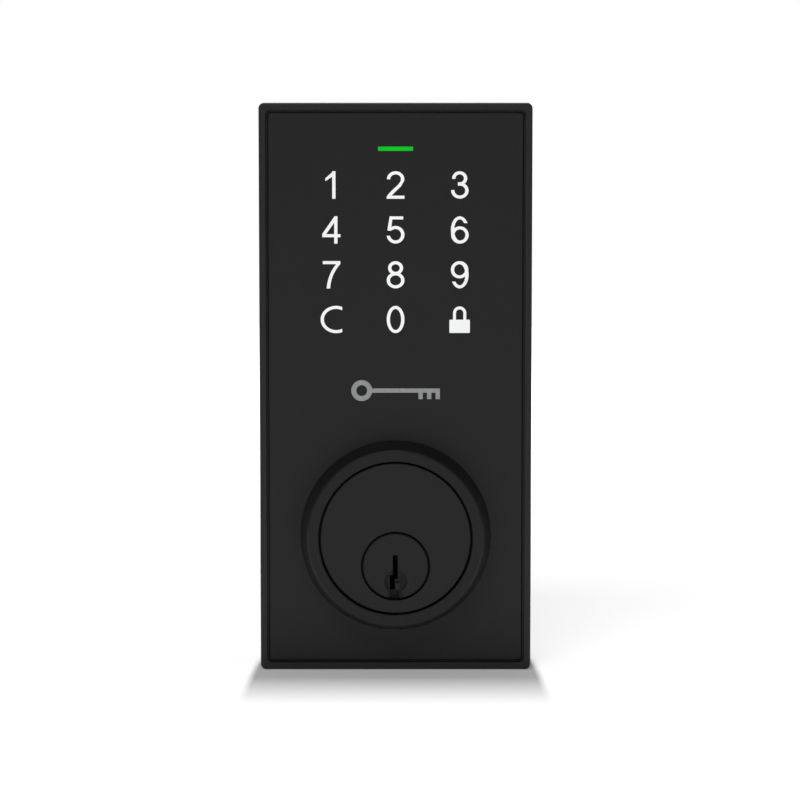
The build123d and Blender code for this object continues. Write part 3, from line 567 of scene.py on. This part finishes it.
def rectangle_loop(box_low, box_high, inset, radius, y, side_step=2.0 * MM, corner_steps=6):
    """Points round a rectangle in X and Z, its corners rounded, at depth y."""
    x_low, x_high = box_low.x + inset, box_high.x - inset
    z_low, z_high = box_low.z + inset, box_high.z - inset
    across = math.ceil((box_high.x - box_low.x) / side_step)
    upward = math.ceil((box_high.z - box_low.z) / side_step)
    centres = [
        (x_high - radius, z_low + radius, -90, upward), (x_high - radius, z_high - radius, 0, across),
        (x_low + radius, z_high - radius, 90, upward), (x_low + radius, z_low + radius, 180, across),
    ]
    points = []
    for number, (x, z, start, side) in enumerate(centres):
        for step in range(corner_steps + 1):
            angle = math.radians(start + 90 * step / corner_steps)
            points.append(Vector((x + radius * math.cos(angle), y, z + radius * math.sin(angle))))
        next_x, next_z, next_start, _ = centres[(number + 1) % 4]
        angle = math.radians(next_start)
        goal = Vector((next_x + radius * math.cos(angle), y, next_z + radius * math.sin(angle)))
        last = points[-1]
        points.extend(last.lerp(goal, step / side) for step in range(1, side))
    return points


def circle_loop(matching, radius, y):
    """A circle about the crossbore axis, its points on the same rays as a loop's round it."""
    return [Vector((p.x, 0, p.z)).normalized() * radius + Vector((0, y, 0)) for p in matching]


def even_circle(radius, y, count):
    """Evenly spaced points round the crossbore axis, at depth y."""
    turns = [2 * math.pi * step / count for step in range(count)]
    return [Vector((radius * math.cos(a), y, radius * math.sin(a))) for a in turns]


def slot_loop(centre, half_straight, radius, y, steps=16):
    """Points round a long slot with half-round ends, at depth y."""
    points = []
    for side, start in ((1, -90), (-1, 90)):
        for step in range(steps + 1):
            angle = math.radians(start + 180 * step / steps)
            x = centre.x + side * half_straight + radius * math.cos(angle)
            points.append(Vector((x, y, centre.z + radius * math.sin(angle))))
    return points


# ---- Geometry Nodes trees ----
def start_tree(name, inputs):
    """A geometry tree with one named input for each size, and its input node."""
    tree = bpy.data.node_groups.new(name, "GeometryNodeTree")
    tree.interface.new_socket("Geometry", in_out="OUTPUT", socket_type="NodeSocketGeometry")
    for label, kind in inputs.items():
        tree.interface.new_socket(label, in_out="INPUT", socket_type=kind)
    return tree, add(tree, "NodeGroupInput")


def end_tree(tree, geometry, material):
    """Turns instances into real faces, smooths them and sets the material."""
    real = add(tree, "GeometryNodeRealizeInstances", links={"Geometry": geometry})
    smooth = add(tree, "GeometryNodeSetShadeSmooth", links={"Geometry": real.outputs[0]})
    painted = add(
        tree, "GeometryNodeSetMaterial", links={"Geometry": smooth.outputs[0], "Material": material}
    )
    add(tree, "NodeGroupOutput", links={"Geometry": painted.outputs[0]})


def grow(name, tree, values):
    """Runs a geometry tree with these values and returns what it makes as a plain mesh."""
    holder = bpy.data.objects.new(name, bpy.data.meshes.new(name))
    bpy.context.scene.collection.objects.link(holder)
    modifier = holder.modifiers.new("Grow", "NODES")
    modifier.node_group = tree
    for item in tree.interface.items_tree:
        if item.in_out == "INPUT":
            modifier[item.identifier] = values[item.name]
    evaluated = holder.evaluated_get(bpy.context.evaluated_depsgraph_get())
    mesh = bpy.data.meshes.new_from_object(evaluated)
    mesh.name = name
    holder.modifiers.remove(modifier)
    bpy.data.objects.remove(holder)
    if not mesh.polygons:
        raise RuntimeError(f"{name}: its geometry tree made nothing")
    return mesh


def coil_tree():
    """Wire wound along Z. Close End 0 keeps an even pitch, and near 1 closes the end turns."""
    tree, sizes = start_tree("coil", {
        "Turns": "NodeSocketFloat", "Radius": "NodeSocketFloat", "Height": "NodeSocketFloat",
        "Wire Radius": "NodeSocketFloat", "Wire Sides": "NodeSocketInt", "Close End": "NodeSocketFloat",
        "Place": "NodeSocketVector", "Turned": "NodeSocketVector", "Material": "NodeSocketMaterial",
    })
    winding = add(
        tree, "GeometryNodeCurveSpiral", {"Resolution": COIL_POINTS, "Height": 0.0},
        {
            "Rotations": sizes.outputs["Turns"], "Start Radius": sizes.outputs["Radius"],
            "End Radius": sizes.outputs["Radius"],
        },
    )
    along = add(tree, "GeometryNodeSplineParameter").outputs["Factor"]
    turn = add(tree, "ShaderNodeMath", {1: 2 * math.pi}, {0: along}, operation="MULTIPLY")
    swing = add(tree, "ShaderNodeMath", links={0: turn.outputs[0]}, operation="SINE")
    share = add(
        tree, "ShaderNodeMath", {1: 2 * math.pi}, {0: sizes.outputs["Close End"]}, operation="DIVIDE"
    )
    ease = add(
        tree, "ShaderNodeMath", links={0: swing.outputs[0], 1: share.outputs[0]}, operation="MULTIPLY"
    )
    eased = add(tree, "ShaderNodeMath", links={0: along, 1: ease.outputs[0]}, operation="SUBTRACT")
    rise = add(
        tree, "ShaderNodeMath", links={0: eased.outputs[0], 1: sizes.outputs["Height"]},
        operation="MULTIPLY",
    )
    offset = add(tree, "ShaderNodeCombineXYZ", links={"Z": rise.outputs[0]})
    raised = add(
        tree, "GeometryNodeSetPosition", links={"Geometry": winding.outputs[0], "Offset": offset.outputs[0]}
    )
    upright = add(tree, "GeometryNodeSetCurveNormal", links={"Curve": raised.outputs[0]})
    upright.mode = "Z_UP"
    section = add(
        tree, "GeometryNodeCurvePrimitiveCircle",
        links={"Resolution": sizes.outputs["Wire Sides"], "Radius": sizes.outputs["Wire Radius"]},
    )
    wire = add(
        tree, "GeometryNodeCurveToMesh", {"Fill Caps": True},
        {"Curve": upright.outputs[0], "Profile Curve": section.outputs[0]},
    )
    placed = add(
        tree, "GeometryNodeTransform",
        links={
            "Geometry": wire.outputs[0], "Translation": sizes.outputs["Place"],
            "Rotation": sizes.outputs["Turned"],
        },
    )
    end_tree(tree, placed.outputs[0], sizes.outputs["Material"])
    return tree


def ribs_tree():
    """Half-round ribs that stand side by side round a cap whose axis is along Y."""
    tree, sizes = start_tree("ribs", {
        "Count": "NodeSocketInt", "Radius": "NodeSocketFloat", "Rib Radius": "NodeSocketFloat",
        "Rib Start": "NodeSocketVector", "Rib End": "NodeSocketVector", "Place": "NodeSocketVector",
        "Material": "NodeSocketMaterial",
    })
    round_cap = add(
        tree, "GeometryNodeMeshCircle",
        links={"Vertices": sizes.outputs["Count"], "Radius": sizes.outputs["Radius"]},
    )
    turned = add(
        tree, "GeometryNodeTransform", {"Rotation": (math.pi / 2, 0, 0)},
        {"Geometry": round_cap.outputs[0], "Translation": sizes.outputs["Place"]},
    )
    line = add(
        tree, "GeometryNodeCurvePrimitiveLine",
        links={"Start": sizes.outputs["Rib Start"], "End": sizes.outputs["Rib End"]},
    )
    section = add(
        tree, "GeometryNodeCurvePrimitiveCircle", {"Resolution": RIB_SIDES},
        {"Radius": sizes.outputs["Rib Radius"]},
    )
    rib = add(
        tree, "GeometryNodeCurveToMesh", {"Fill Caps": True},
        {"Curve": line.outputs[0], "Profile Curve": section.outputs[0]},
    )
    row = add(
        tree, "GeometryNodeInstanceOnPoints",
        links={"Points": turned.outputs[0], "Instance": rib.outputs[0]},
    )
    end_tree(tree, row.outputs[0], sizes.outputs["Material"])
    return tree


# ---- Settings ----
class DeadboltColours(bpy.types.PropertyGroup):
    """Colours of what shows from outside."""

    shell: FloatVectorProperty(
        name="Shell", description="Powder coat of the shell",
        default=linear("262627"), size=4, subtype="COLOR", min=0, max=1,
    )
    collar: FloatVectorProperty(
        name="Collar", description="Powder coat of the collar",
        default=linear("171718"), size=4, subtype="COLOR", min=0, max=1,
    )
    panel: FloatVectorProperty(
        name="Panel", description="ABS of the front panel",
        default=linear("1e1e1f"), size=4, subtype="COLOR", min=0, max=1,
    )
    cylinder: FloatVectorProperty(
        name="Cylinder", description="Lacquer on the cylinder's disc and the plug",
        default=linear("1a1a1b"), size=4, subtype="COLOR", min=0, max=1,
    )
    legends: FloatVectorProperty(
        name="Figures", description="Light of the figures",
        default=linear("fbfcfc"), size=4, subtype="COLOR", min=0, max=1,
    )
    status: FloatVectorProperty(
        name="Status light", description="Light of the bar above the figures",
        default=linear("10cc2a"), size=4, subtype="COLOR", min=0, max=1,
    )
    emblem: FloatVectorProperty(
        name="Emblem", description="Ink of the plain key under the figures",
        default=linear("a8a9aa"), size=4, subtype="COLOR", min=0, max=1,
    )


class DeadboltSizes(bpy.types.PropertyGroup):
    """Sizes of the small parts that are made here."""

    wire_radius: FloatProperty(
        name="Spring wire", description="Half the thickness of a pin spring's wire",
        default=0.16 * MM, unit="LENGTH", precision=5, min=0.05 * MM, max=0.4 * MM,
    )
    spring_turns: IntProperty(
        name="Spring turns", description="Turns of wire in a pin spring", default=11, min=3, max=30
    )
    thread_pitch: FloatProperty(
        name="Thread pitch", description="Pitch of the posts' M5 thread",
        default=0.8 * MM, unit="LENGTH", precision=5, min=0.2 * MM, max=2 * MM,
    )
    thread_ridge: FloatProperty(
        name="Thread ridge", description="Half the width of the thread's ridge",
        default=0.26 * MM, unit="LENGTH", precision=5, min=0.05 * MM, max=0.6 * MM,
    )
    cap_ribs: IntProperty(
        name="Cap ribs", description="Ribs round the plug's cap", default=48, min=6, max=120
    )
    rib_radius: FloatProperty(
        name="Rib radius", description="Half the width of a rib on the plug's cap",
        default=0.24 * MM, unit="LENGTH", precision=5, min=0.05 * MM, max=0.6 * MM,
    )
    foam_edge: FloatProperty(
        name="Foam edge", description="Rounding of the gasket's cut edges",
        default=0.35 * MM, unit="LENGTH", precision=5, min=0.05 * MM, max=0.7 * MM,
    )
    bead_depth: FloatProperty(
        name="Bead depth", description="How far the gasket's sealing bead stands off its face",
        default=0.30 * MM, unit="LENGTH", precision=5, min=0, max=0.8 * MM,
    )
    rubber_edge: FloatProperty(
        name="Rubber edge", description="Rounding of the grommet's lips",
        default=0.32 * MM, unit="LENGTH", precision=5, min=0.05 * MM, max=0.38 * MM,
    )


class DeadboltStudio(bpy.types.PropertyGroup):
    """Camera and lights. The camera's place is from the crossbore's middle on the door face."""

    camera_side: FloatProperty(
        name="Camera side", description="How far the camera stands to the right",
        default=1.14 * MM, unit="LENGTH", precision=5,
    )
    camera_reach: FloatProperty(
        name="Camera distance", description="From the door's face to the camera",
        default=0.4405, unit="LENGTH", precision=4,
    )
    camera_height: FloatProperty(
        name="Camera height", description="Above the crossbore's axis",
        default=56.84 * MM, unit="LENGTH", precision=5,
    )
    camera_pitch: FloatProperty(
        name="Camera pitch", description="Ninety degrees looks level, and less looks down",
        default=math.radians(87), subtype="ANGLE",
    )
    lens: FloatProperty(
        name="Lens", description="Focal length in millimetres on a 36 mm sensor",
        default=72.78, min=10, max=300,
    )
    top_power: FloatProperty(
        name="Top light", description="Power of the light high overhead", default=66.0, subtype="POWER"
    )
    front_power: FloatProperty(
        name="Front light", description="Power of the soft light above the camera", default=5.2,
        subtype="POWER",
    )
    sky: FloatProperty(
        name="Fill", description="Brightness of the even light from all round", default=0.12
    )


def colours():
    return bpy.context.scene.deadbolt_colours


def sizes_set():
    return bpy.context.scene.deadbolt_sizes


# ---- Operators: finishes ----
class FinishShell(bpy.types.Operator):
    """Powder coat on the shell and the collar"""

    bl_idname = "deadbolt.finish_shell"
    bl_label = "Shell and collar"

    def execute(self, context):
        dress(powder_coated_zinc("powder_coated_shell", colours().shell), "housing")
        dress(powder_coated_zinc("powder_coated_collar", colours().collar), "collar")
        return {"FINISHED"}


class FinishPanel(bpy.types.Operator):
    """Moulded panel with its lit figures, status light and printed emblem"""

    bl_idname = "deadbolt.finish_panel"
    bl_label = "Panel, figures and lights"

    def execute(self, context):
        dress(moulded_abs(colours().panel), "front_panel")
        figures = lit_polycarbonate(
            "backlit_polycarbonate", linear("9c9c9c"), colours().legends, strength=0.72,
            half_length=high("key_legends").x, spread=0.04,
        )
        dress(figures, "key_legends")
        bar = lit_polycarbonate(
            "green_light_pipe", linear("02200a"), colours().status, strength=0.92,
            half_length=high("status_light_pipe").x, spread=0.10,
        )
        dress(bar, "status_light_pipe")
        dress(printed_ink(colours().emblem), "front_emblem")
        return {"FINISHED"}


class FinishCylinder(bpy.types.Operator):
    """Black lacquer on the cylinder and the plug, and bare brass further back"""

    bl_idname = "deadbolt.finish_cylinder"
    bl_label = "Lock cylinder"

    def execute(self, context):
        cylinder = lacquered_brass(
            "lacquered_cylinder_brass", colours().cylinder, bare=linear("c2a052"),
            y_face=low("cylinder_body").y, y_bare=high("panel_tape").y, centre=Vector(),
        )
        dress(cylinder, "cylinder_body")
        plug = lacquered_brass(
            "lacquered_plug_brass", colours().cylinder, bare=linear("cba85a"),
            y_face=low("plug").y, y_bare=low("door_gasket").y, centre=PLUG_AXIS,
        )
        dress(plug, "plug")
        dress(turned_brass(), "plug_cap", "cylinder_cover")
        # painted shade: the key pins are near-black so that the key slot reads dark
        dress(painted_shade_pin_brass(), *[f"key_pin_{k}" for k in PIN_STACKS])
        dress(hardened_steel(), "drill_guard_pins", *[f"driver_pin_{k}" for k in PIN_STACKS])
        return {"FINISHED"}


class FinishMetalwork(bpy.types.Operator):
    """Zinc plate on the back plate, posts, tailpiece and screws"""

    bl_idname = "deadbolt.finish_metalwork"
    bl_label = "Plates, posts and screws"

    def execute(self, context):
        dress(zinc_plated_sheet(), "back_plate")
        dress(zinc_plated_bar(), "mounting_posts", "tailpiece")
        dress(zinc_plated_screws(), "back_plate_screws", "board_screws", "cylinder_screws")
        return {"FINISHED"}


class FinishElectronics(bpy.types.Operator):
    """Board, film, baffle, lights and packages"""

    bl_idname = "deadbolt.finish_electronics"
    bl_label = "Electronics"

    def execute(self, context):
        dress(solder_mask(), "keypad_board")
        dress(polyimide_film(), "touch_film")
        dress(opal_acrylic(), "legend_diffusers")
        dress(moulded_plastic("white_polystyrene", "e6e5e0", (0.40, 0.52)), "light_baffle")
        dress(moulded_plastic("epoxy_package", "1d1d1f", (0.50, 0.65)), "touch_controller", "board_parts")
        dress(moulded_plastic("sounder_phenolic", "232326", (0.42, 0.55)), "sounder")
        dress(moulded_plastic("header_nylon", "d8cfae", (0.38, 0.50)), "harness_header")
        dress(led_package(), "backlight_leds", "status_led")
        dress(tinned_steel(), "radio_module")
        return {"FINISHED"}


# ---- Operators: pieces made here ----
class MakeSprings(bpy.types.Operator):
    """One wound spring over each driver pin, closed at its ends"""

    bl_idname = "deadbolt.make_springs"
    bl_label = "Pin springs"

    def execute(self, context):
        tree, bronze, sizes = coil_tree(), spring_bronze(), sizes_set()
        wire = sizes.wire_radius
        for k in PIN_STACKS:
            node = f"pin_spring_{k}"
            bottom, top = low(node), high(node)
            centre = middle(node)
            mesh = grow(f"spring_coil_{k}", tree, {
                "Turns": sizes.spring_turns, "Radius": (top.x - bottom.x) / 2 - wire,
                "Height": top.z - bottom.z - 2 * wire, "Wire Radius": wire,
                "Wire Sides": SPRING_WIRE_SIDES, "Close End": SPRING_CLOSE_END,
                "Place": (centre.x, centre.y, bottom.z + wire), "Turned": (0, 0, 0),
                "Material": bronze,
            })
            piece = put(f"spring_coil_{k}", mesh, bronze, OBJECT_BODY, "spring_bronze", node)
            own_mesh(piece)
        return {"FINISHED"}


class MakeThreads(bpy.types.Operator):
    """The ridge of an M5 thread down each post's blind hole"""

    bl_idname = "deadbolt.make_threads"
    bl_label = "Post threads"

    def execute(self, context):
        tree, plated, sizes = coil_tree(), cut_thread(), sizes_set()
        dims = mount("through_bolts")["dims"]
        y_start, y_end = low("mounting_posts").y + POST_SOLID_FRONT, high("mounting_posts").y
        ridge = sizes.thread_ridge
        height = y_end - y_start - 2 * ridge
        for side, name in ((-1, "left"), (1, "right")):
            mesh = grow(f"post_thread_{name}", tree, {
                "Turns": height / sizes.thread_pitch, "Radius": dims["hole_r_mm"] * MM,
                "Height": height, "Wire Radius": ridge, "Wire Sides": THREAD_SIDES, "Close End": 0.0,
                "Place": (side * dims["spacing_x_mm"] / 2 * MM, y_end - ridge, 0),
                "Turned": (math.pi / 2, 0, 0), "Material": plated,
            })
            put(f"post_thread_{name}", mesh, plated, OBJECT_BODY, "plated_steel")
        return {"FINISHED"}


class MakeCapRibs(bpy.types.Operator):
    """Ribs round the plug's cap, for the fingers that screw it on"""

    bl_idname = "deadbolt.make_cap_ribs"
    bl_label = "Plug cap ribs"

    def execute(self, context):
        sizes, brass = sizes_set(), turned_brass()
        bottom, top = low("plug_cap"), high("plug_cap")
        mesh = grow("cap_ribs", ribs_tree(), {
            "Count": sizes.cap_ribs, "Radius": (top.x - bottom.x) / 2, "Rib Radius": sizes.rib_radius,
            "Rib Start": (0, bottom.y + RIB_MARGIN, 0), "Rib End": (0, top.y - RIB_MARGIN * 2, 0),
            "Place": (PLUG_AXIS.x, 0, PLUG_AXIS.z), "Material": brass,
        })
        put("cap_ribs", mesh, brass, "plug", "brass")
        return {"FINISHED"}


class MakeGasket(bpy.types.Operator):
    """Foam gasket against the door, its edges soft, with a sealing bead round it and round its hole"""

    bl_idname = "deadbolt.make_gasket"
    bl_label = "Door gasket"

    def execute(self, context):
        sizes, bottom, top = sizes_set(), low("door_gasket"), high("door_gasket")
        edge, bead = sizes.foam_edge, sizes.bead_depth
        part_edge = edge * EDGE_STEP
        face = top.y - bead
        mid = (bottom.y + face) / 2
        rays = rectangle_loop(bottom, top, 0, GASKET_CORNER_R, 0)
        shares = [step / BEAD_STEPS for step in range(BEAD_STEPS + 1)]
        crest = [(share, face + bead * math.sin(math.pi * share) ** 2) for share in shares]

        def frame_loop(distance, y):
            return rectangle_loop(bottom, top, distance, GASKET_CORNER_R, y)

        def hole_loop(distance, y):
            return circle_loop(rays, GASKET_HOLE_R + distance, y)

        loops = [
            frame_loop(edge, bottom.y), frame_loop(part_edge, bottom.y + part_edge),
            frame_loop(0, bottom.y + edge), frame_loop(0, mid), frame_loop(0, face - edge),
            frame_loop(part_edge, face - part_edge), frame_loop(edge, face),
        ]
        loops += [frame_loop(BEAD_INSET + share * BEAD_WIDTH, y) for share, y in crest]
        loops += [hole_loop(BEAD_INSET + (1 - share) * BEAD_WIDTH, y) for share, y in crest]
        loops += [
            hole_loop(edge, face), hole_loop(part_edge, face - part_edge), hole_loop(0, face - edge),
            hole_loop(0, bottom.y + edge), hole_loop(part_edge, bottom.y + part_edge),
            hole_loop(edge, bottom.y),
        ]
        foam = closed_cell_foam("closed_cell_foam", linear("2b2b2c"), cell_mm=0.7)
        piece = put(
            "foam_gasket", skin("foam_gasket", loops), foam, OBJECT_BODY, "gasket_foam", "door_gasket"
        )
        return {"FINISHED"}


class MakeRubber(bpy.types.Operator):
    """The cable's grommet with soft lips, and the ring that seals the collar"""

    bl_idname = "deadbolt.make_rubber"
    bl_label = "Rubber parts"

    def execute(self, context):
        rubber = moulded_rubber()
        lip, waist = GROMMET_LIP, GROMMET_WAIST
        bottom, top, centre = low("cable_grommet"), high("cable_grommet"), middle("cable_grommet")
        plate_front, plate_back = low("back_plate").y, high("back_plate").y
        radius = (top.z - bottom.z) / 2 - lip
        half_straight = (top.x - bottom.x) / 2 - lip - radius
        section = rounded([
            (0, bottom.y), (0, top.y), (lip, top.y), (lip, plate_back), (waist, plate_back),
            (waist, plate_front), (lip, plate_front), (lip, bottom.y),
        ], sizes_set().rubber_edge)
        loops = [slot_loop(centre, half_straight, radius + grow_by, y) for grow_by, y in section]
        put(
            "rubber_grommet", skin("rubber_grommet", loops), rubber, OBJECT_BODY, "grommet_rubber",
            "cable_grommet",
        )
        bottom, top = low("collar_seal"), high("collar_seal")
        inner, outer = top.x - SEAL_WIDTH, top.x
        section = rounded(
            [(inner, bottom.y), (outer, bottom.y), (outer, top.y), (inner, top.y)],
            SEAL_WIDTH * SEAL_ROUNDING,
        )
        loops = [even_circle(r, y, SEAL_POINTS) for r, y in section]
        put(
            "seal_ring", skin("seal_ring", loops), rubber, OBJECT_BODY, "grommet_rubber", "collar_seal"
        )
        return {"FINISHED"}


class MakeTape(bpy.types.Operator):
    """Foam tape under the panel's edge, its cut sides slightly bulged"""

    bl_idname = "deadbolt.make_tape"
    bl_label = "Panel tape"

    def execute(self, context):
        bottom, top = low("panel_tape"), high("panel_tape")
        mid, inner = (bottom.y + top.y) / 2, TAPE_WIDTH - TAPE_BULGE

        def tape_loop(distance, y):
            return rectangle_loop(bottom, top, distance, TAPE_CORNER_R, y)

        loops = [
            tape_loop(TAPE_BULGE, bottom.y), tape_loop(0, mid), tape_loop(TAPE_BULGE, top.y),
            tape_loop(inner, top.y), tape_loop(TAPE_WIDTH, mid), tape_loop(inner, bottom.y),
        ]
        foam = closed_cell_foam("acrylic_foam_tape", linear("333334"), cell_mm=0.3)
        piece = put("foam_tape", skin("foam_tape", loops), foam, OBJECT_BODY, "foam_tape", "panel_tape")
        return {"FINISHED"}


# ---- Operator: studio ----
def soft_light(name, power, size, place, target):
    """A rectangular light of this width and depth, turned to its target."""
    lamp = bpy.data.lights.new(name, "AREA")
    lamp.shape = "RECTANGLE"
    lamp.size, lamp.size_y = size
    lamp.energy = power
    light = bpy.data.objects.new(name, lamp)
    light.location = place
    light.rotation_euler = (Vector(target) - Vector(place)).to_track_quat("-Z", "Y").to_euler()
    bpy.context.scene.collection.objects.link(light)


def floor_paper():
    """Matt white paper, overexposed away from the object, as in a lit studio sweep."""
    material, tree, place = start_material("floor_paper")
    away = add(tree, "ShaderNodeVectorMath", links={0: place}, operation="LENGTH")
    seen = add(tree, "ShaderNodeLightPath")
    glow = add(
        tree, "ShaderNodeMapRange", {"From Min": FLOOR_GLOW[0], "From Max": FLOOR_GLOW[1]},
        {"Value": away.outputs["Value"]}, interpolation_type="SMOOTHSTEP",
    )
    shown = add(
        tree, "ShaderNodeMath", links={0: glow.outputs["Result"], 1: seen.outputs["Is Camera Ray"]},
        operation="MULTIPLY",
    )
    lifted = add(tree, "ShaderNodeMath", {1: FLOOR_LIFT}, {0: shown.outputs[0]}, operation="ADD")
    end_material(
        tree,
        {
            "Base Color": linear("f4f4f4"), "Roughness": 0.9, "Specular IOR Level": 0.0,
            "Emission Color": linear("ffffff"),
        },
        {"Emission Strength": lifted.outputs[0]},
    )
    return material


def white_floor():
    """A matt white sweep that the object stands on."""
    reach, floor_z = FLOOR_REACH, CAD_BOX[0].z
    mesh = bpy.data.meshes.new("floor")
    corners = [(-reach, -reach), (reach, -reach), (reach, reach), (-reach, reach)]
    mesh.from_pydata([(x, y, floor_z) for x, y in corners], [], [(0, 1, 2, 3)])
    floor = bpy.data.objects.new("floor", mesh)
    bpy.context.scene.collection.objects.link(floor)
    floor.data.materials.append(floor_paper())


def white_surround(sky):
    """White to the camera, and a weaker even light on everything else."""
    world = bpy.data.worlds.new("studio")
    bpy.context.scene.world = world
    world.use_nodes = True
    tree = world.node_tree
    tree.nodes.clear()
    seen = add(tree, "ShaderNodeLightPath")
    strength = add(
        tree, "ShaderNodeMapRange", {"To Min": sky, "To Max": 1.0},
        {"Value": seen.outputs["Is Camera Ray"]},
    )
    background = add(
        tree, "ShaderNodeBackground", {"Color": (1, 1, 1, 1)}, {"Strength": strength.outputs["Result"]}
    )
    add(tree, "ShaderNodeOutputWorld", links={"Surface": background.outputs[0]})


class SetStage(bpy.types.Operator):
    """White floor and surround, a soft light overhead, a soft light in front, and the camera"""

    bl_idname = "deadbolt.set_stage"
    bl_label = "Studio"

    def execute(self, context):
        scene, studio = context.scene, context.scene.deadbolt_studio
        scene.view_settings.view_transform = "Standard"
        centre = (CAD_BOX[0] + CAD_BOX[1]) / 2
        white_floor()
        white_surround(studio.sky)
        soft_light("top_light", studio.top_power, TOP_LIGHT_SIZE, TOP_LIGHT_PLACE, (0, 0, 0))
        soft_light(
            "front_light", studio.front_power, FRONT_LIGHT_SIZE, FRONT_LIGHT_PLACE, (0, 0, centre.z)
        )
        lens = bpy.data.cameras.new("camera")
        lens.lens, lens.sensor_width = studio.lens, SENSOR_WIDTH
        lens.clip_start, lens.clip_end = CAMERA_CLIP
        camera = bpy.data.objects.new("camera", lens)
        camera.location = (studio.camera_side, -studio.camera_reach, studio.camera_height)
        camera.rotation_euler = (studio.camera_pitch, 0, 0)
        scene.collection.objects.link(camera)
        scene.camera = camera
        return {"FINISHED"}


# ---- Panel and registration ----
STEPS = (
    SetStage, FinishShell, FinishPanel, FinishCylinder, FinishMetalwork, FinishElectronics,
    MakeSprings, MakeThreads, MakeCapRibs, MakeGasket, MakeRubber, MakeTape,
)
GROUPS = (DeadboltColours, DeadboltSizes, DeadboltStudio)


class DeadboltPanel(bpy.types.Panel):
    """Lists the settings and the steps"""

    bl_idname = "VIEW3D_PT_deadbolt"
    bl_label = "Deadbolt"
    bl_space_type = "VIEW_3D"
    bl_region_type = "UI"
    bl_category = "Deadbolt"

    def draw(self, context):
        scene = context.scene
        for settings in (scene.deadbolt_colours, scene.deadbolt_sizes, scene.deadbolt_studio):
            box = self.layout.box()
            for name in settings.bl_rna.properties.keys():
                if name not in ("rna_type", "name"):
                    box.prop(settings, name)
        for step in STEPS:
            self.layout.operator(step.bl_idname)


def register():
    for item in (*GROUPS, *STEPS, DeadboltPanel):
        bpy.utils.register_class(item)
    bpy.types.Scene.deadbolt_colours = PointerProperty(type=DeadboltColours)
    bpy.types.Scene.deadbolt_sizes = PointerProperty(type=DeadboltSizes)
    bpy.types.Scene.deadbolt_studio = PointerProperty(type=DeadboltStudio)


def unregister():
    del bpy.types.Scene.deadbolt_colours
    del bpy.types.Scene.deadbolt_sizes
    del bpy.types.Scene.deadbolt_studio
    for item in reversed((*GROUPS, *STEPS, DeadboltPanel)):
        bpy.utils.unregister_class(item)


def main():
    register()
    bpy.ops.deadbolt.set_stage()
    bpy.ops.deadbolt.finish_shell()
    bpy.ops.deadbolt.finish_panel()
    bpy.ops.deadbolt.finish_cylinder()
    bpy.ops.deadbolt.finish_metalwork()
    bpy.ops.deadbolt.finish_electronics()
    bpy.ops.deadbolt.make_springs()
    bpy.ops.deadbolt.make_threads()
    bpy.ops.deadbolt.make_cap_ribs()
    bpy.ops.deadbolt.make_gasket()
    bpy.ops.deadbolt.make_rubber()
    bpy.ops.deadbolt.make_tape()


if __name__ == "__main__":
    main()
